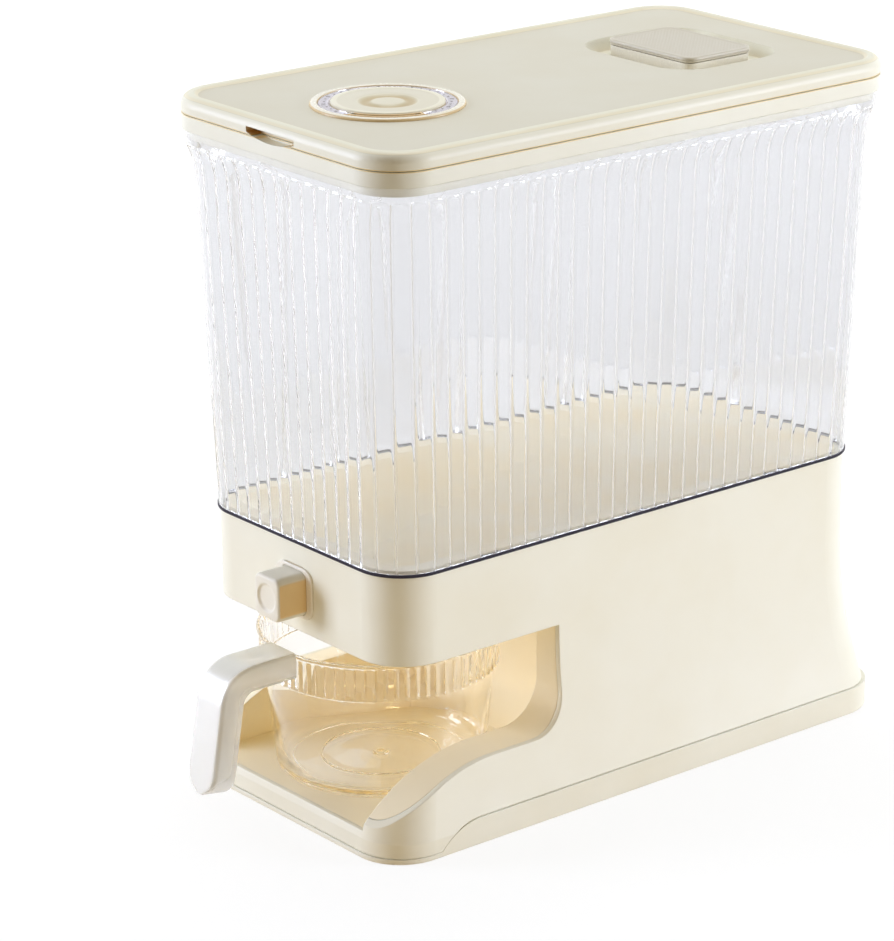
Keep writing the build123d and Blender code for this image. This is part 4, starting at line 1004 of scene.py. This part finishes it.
def plain_floor():
    """A white floor: it glows for the eye, for clear parts and for gloss, and bounces warm light."""
    mesh = bpy.data.meshes.new("floor")
    side = FLOOR_SIDE
    corners = [(-side, -side, 0), (side, -side, 0), (side, side, 0), (-side, side, 0)]
    mesh.from_pydata(corners, [], [(0, 1, 2, 3)])
    floor = bpy.data.objects.new("floor", mesh)
    bpy.context.scene.collection.objects.link(floor)
    mat, tree, bsdf, out = new_material("floor_paper")
    ray = add_node(tree, "ShaderNodeLightPath").outputs
    shown = either(tree, ray["Is Camera Ray"], ray["Is Transmission Ray"], ray["Is Glossy Ray"])
    shade = mix_colours(tree, shown, FLOOR_BOUNCE, FLOOR_SEEN)
    feed(tree, bsdf, {"Base Color": shade, "Roughness": 0.9, "Specular IOR Level": 0.1})
    away = add_node(tree, "ShaderNodeVectorMath", {0: object_place(tree)}, operation="LENGTH")
    paler = map_range(tree, away.outputs["Value"], FLOOR_NEAR, FLOOR_FAR, FLOOR_GLOW_NEAR, FLOOR_GLOW_FAR)
    strength = calculate(tree, "MULTIPLY", shown, paler)
    glow = add_node(tree, "ShaderNodeEmission", {"Color": PAPER_WHITE, "Strength": strength})
    both = add_node(tree, "ShaderNodeAddShader", {0: bsdf.outputs["BSDF"], 1: glow.outputs["Emission"]})
    feed(tree, out, {"Surface": both.outputs["Shader"]})
    mesh.materials.append(mat)


def area_light(name, at, to, width, height, power, colour):
    """A rectangular lamp at a place, turned towards another."""
    lamp = bpy.data.lights.new(name, "AREA")
    lamp.shape = "RECTANGLE"
    lamp.size = width
    lamp.size_y = height
    lamp.energy = power
    lamp.color = colour
    obj = bpy.data.objects.new(name, lamp)
    bpy.context.scene.collection.objects.link(obj)
    obj.location = at
    obj.rotation_euler = (Vector(to) - Vector(at)).to_track_quat("-Z", "Y").to_euler()
    return lamp


def world_light():
    """Soft light that turns amber on the front right, and a white ground with an amber card in gloss."""
    world = bpy.data.worlds.new("studio")
    bpy.context.scene.world = world
    world.use_nodes = True
    tree = world.node_tree
    tree.nodes.clear()
    towards = add_node(tree, "ShaderNodeTexCoord").outputs["Generated"]
    facing = add_node(tree, "ShaderNodeVectorMath", {0: towards, 1: AMBER_SIDE}, operation="DOT_PRODUCT")
    amber = map_range(tree, facing.outputs["Value"], AMBER_FROM, AMBER_FULL, curve="SMOOTHSTEP")
    sky = {"Strength": SKY_STRENGTH, "Color": mix_colours(tree, amber, SKY_COOL, SKY_AMBER)}
    soft = add_node(tree, "ShaderNodeBackground", sky)
    ray = add_node(tree, "ShaderNodeLightPath").outputs
    carded = calculate(tree, "MULTIPLY", amber, ray["Is Glossy Ray"])
    ground = {"Strength": 1.0, "Color": mix_colours(tree, carded, PAPER_WHITE, AMBER_CARD)}
    white = add_node(tree, "ShaderNodeBackground", ground)
    shown = either(tree, ray["Is Camera Ray"], ray["Is Transmission Ray"], ray["Is Glossy Ray"])
    layers = {"Fac": shown, 1: soft.outputs["Background"], 2: white.outputs["Background"]}
    surface = add_node(tree, "ShaderNodeMixShader", layers).outputs["Shader"]
    add_node(tree, "ShaderNodeOutputWorld", {"Surface": surface})


CAMERA_AZIMUTH, CAMERA_ELEVATION = math.radians(49.75), math.radians(18.927)
CAMERA_DISTANCE, CAMERA_AIM_Z = 2.0304, 0.15789
CAMERA_LENS, SENSOR_HEIGHT = 142.45, 36
CAMERA_SHIFT_X, CAMERA_SHIFT_Y = -0.09682, -0.0065
CAMERA_CLIP_END = 100


def photo_camera():
    """The camera that was fitted to the photograph."""
    level = math.cos(CAMERA_ELEVATION)
    back = Vector((
        math.sin(CAMERA_AZIMUTH) * level,
        -math.cos(CAMERA_AZIMUTH) * level,
        math.sin(CAMERA_ELEVATION),
    ))
    right = Vector((math.cos(CAMERA_AZIMUTH), math.sin(CAMERA_AZIMUTH), 0))
    up = back.cross(right)
    lens = bpy.data.cameras.new("photo_camera")
    camera = bpy.data.objects.new("photo_camera", lens)
    bpy.context.scene.collection.objects.link(camera)
    place = Matrix((right, up, back)).transposed().to_4x4()
    place.translation = Vector((0, 0, CAMERA_AIM_Z)) + back * CAMERA_DISTANCE
    camera.matrix_world = place
    lens.sensor_fit = "VERTICAL"
    lens.sensor_height = SENSOR_HEIGHT
    lens.lens = CAMERA_LENS
    lens.shift_x = CAMERA_SHIFT_X
    lens.shift_y = CAMERA_SHIFT_Y
    lens.clip_end = CAMERA_CLIP_END
    bpy.context.scene.camera = camera


MIDDLE, PANEL_SIZE = (0, 0, 0.18), (0.9, 1.4)
LOW_FILL_SPREAD = math.radians(20)
CLEAR_BOUNCES, TRANSPARENT_BOUNCES, DIFFUSE_BOUNCES = 24, 32, 8

plain_floor()
world_light()
area_light("left_panel", (-1.7, -1.8, 0.75), MIDDLE, *PANEL_SIZE, 55, (0.74, 0.81, 1.0))
area_light("right_panel", (1.9, 1.75, 0.6), MIDDLE, *PANEL_SIZE, 62, (0.79, 0.85, 1.0))
area_light("top_panel", (-0.5, 0.5, 2.3), (0, 0, 0.2), 1.2, 1.2, 22, (0.97, 0.985, 1.0))
low_fill = area_light("low_fill", (1.15, -1.55, 0.10), (0, -0.1, -0.02), 0.5, 0.16, 0.065, (1.0, 0.74, 0.38))
low_fill.spread = LOW_FILL_SPREAD
photo_camera()
scene = bpy.context.scene
scene.view_settings.view_transform = "Standard"
scene.cycles.max_bounces = CLEAR_BOUNCES
scene.cycles.transmission_bounces = CLEAR_BOUNCES
scene.cycles.glossy_bounces = CLEAR_BOUNCES
scene.cycles.transparent_max_bounces = TRANSPARENT_BOUNCES
scene.cycles.diffuse_bounces = DIFFUSE_BOUNCES
scene.cycles.caustics_reflective = False
scene.cycles.caustics_refractive = False
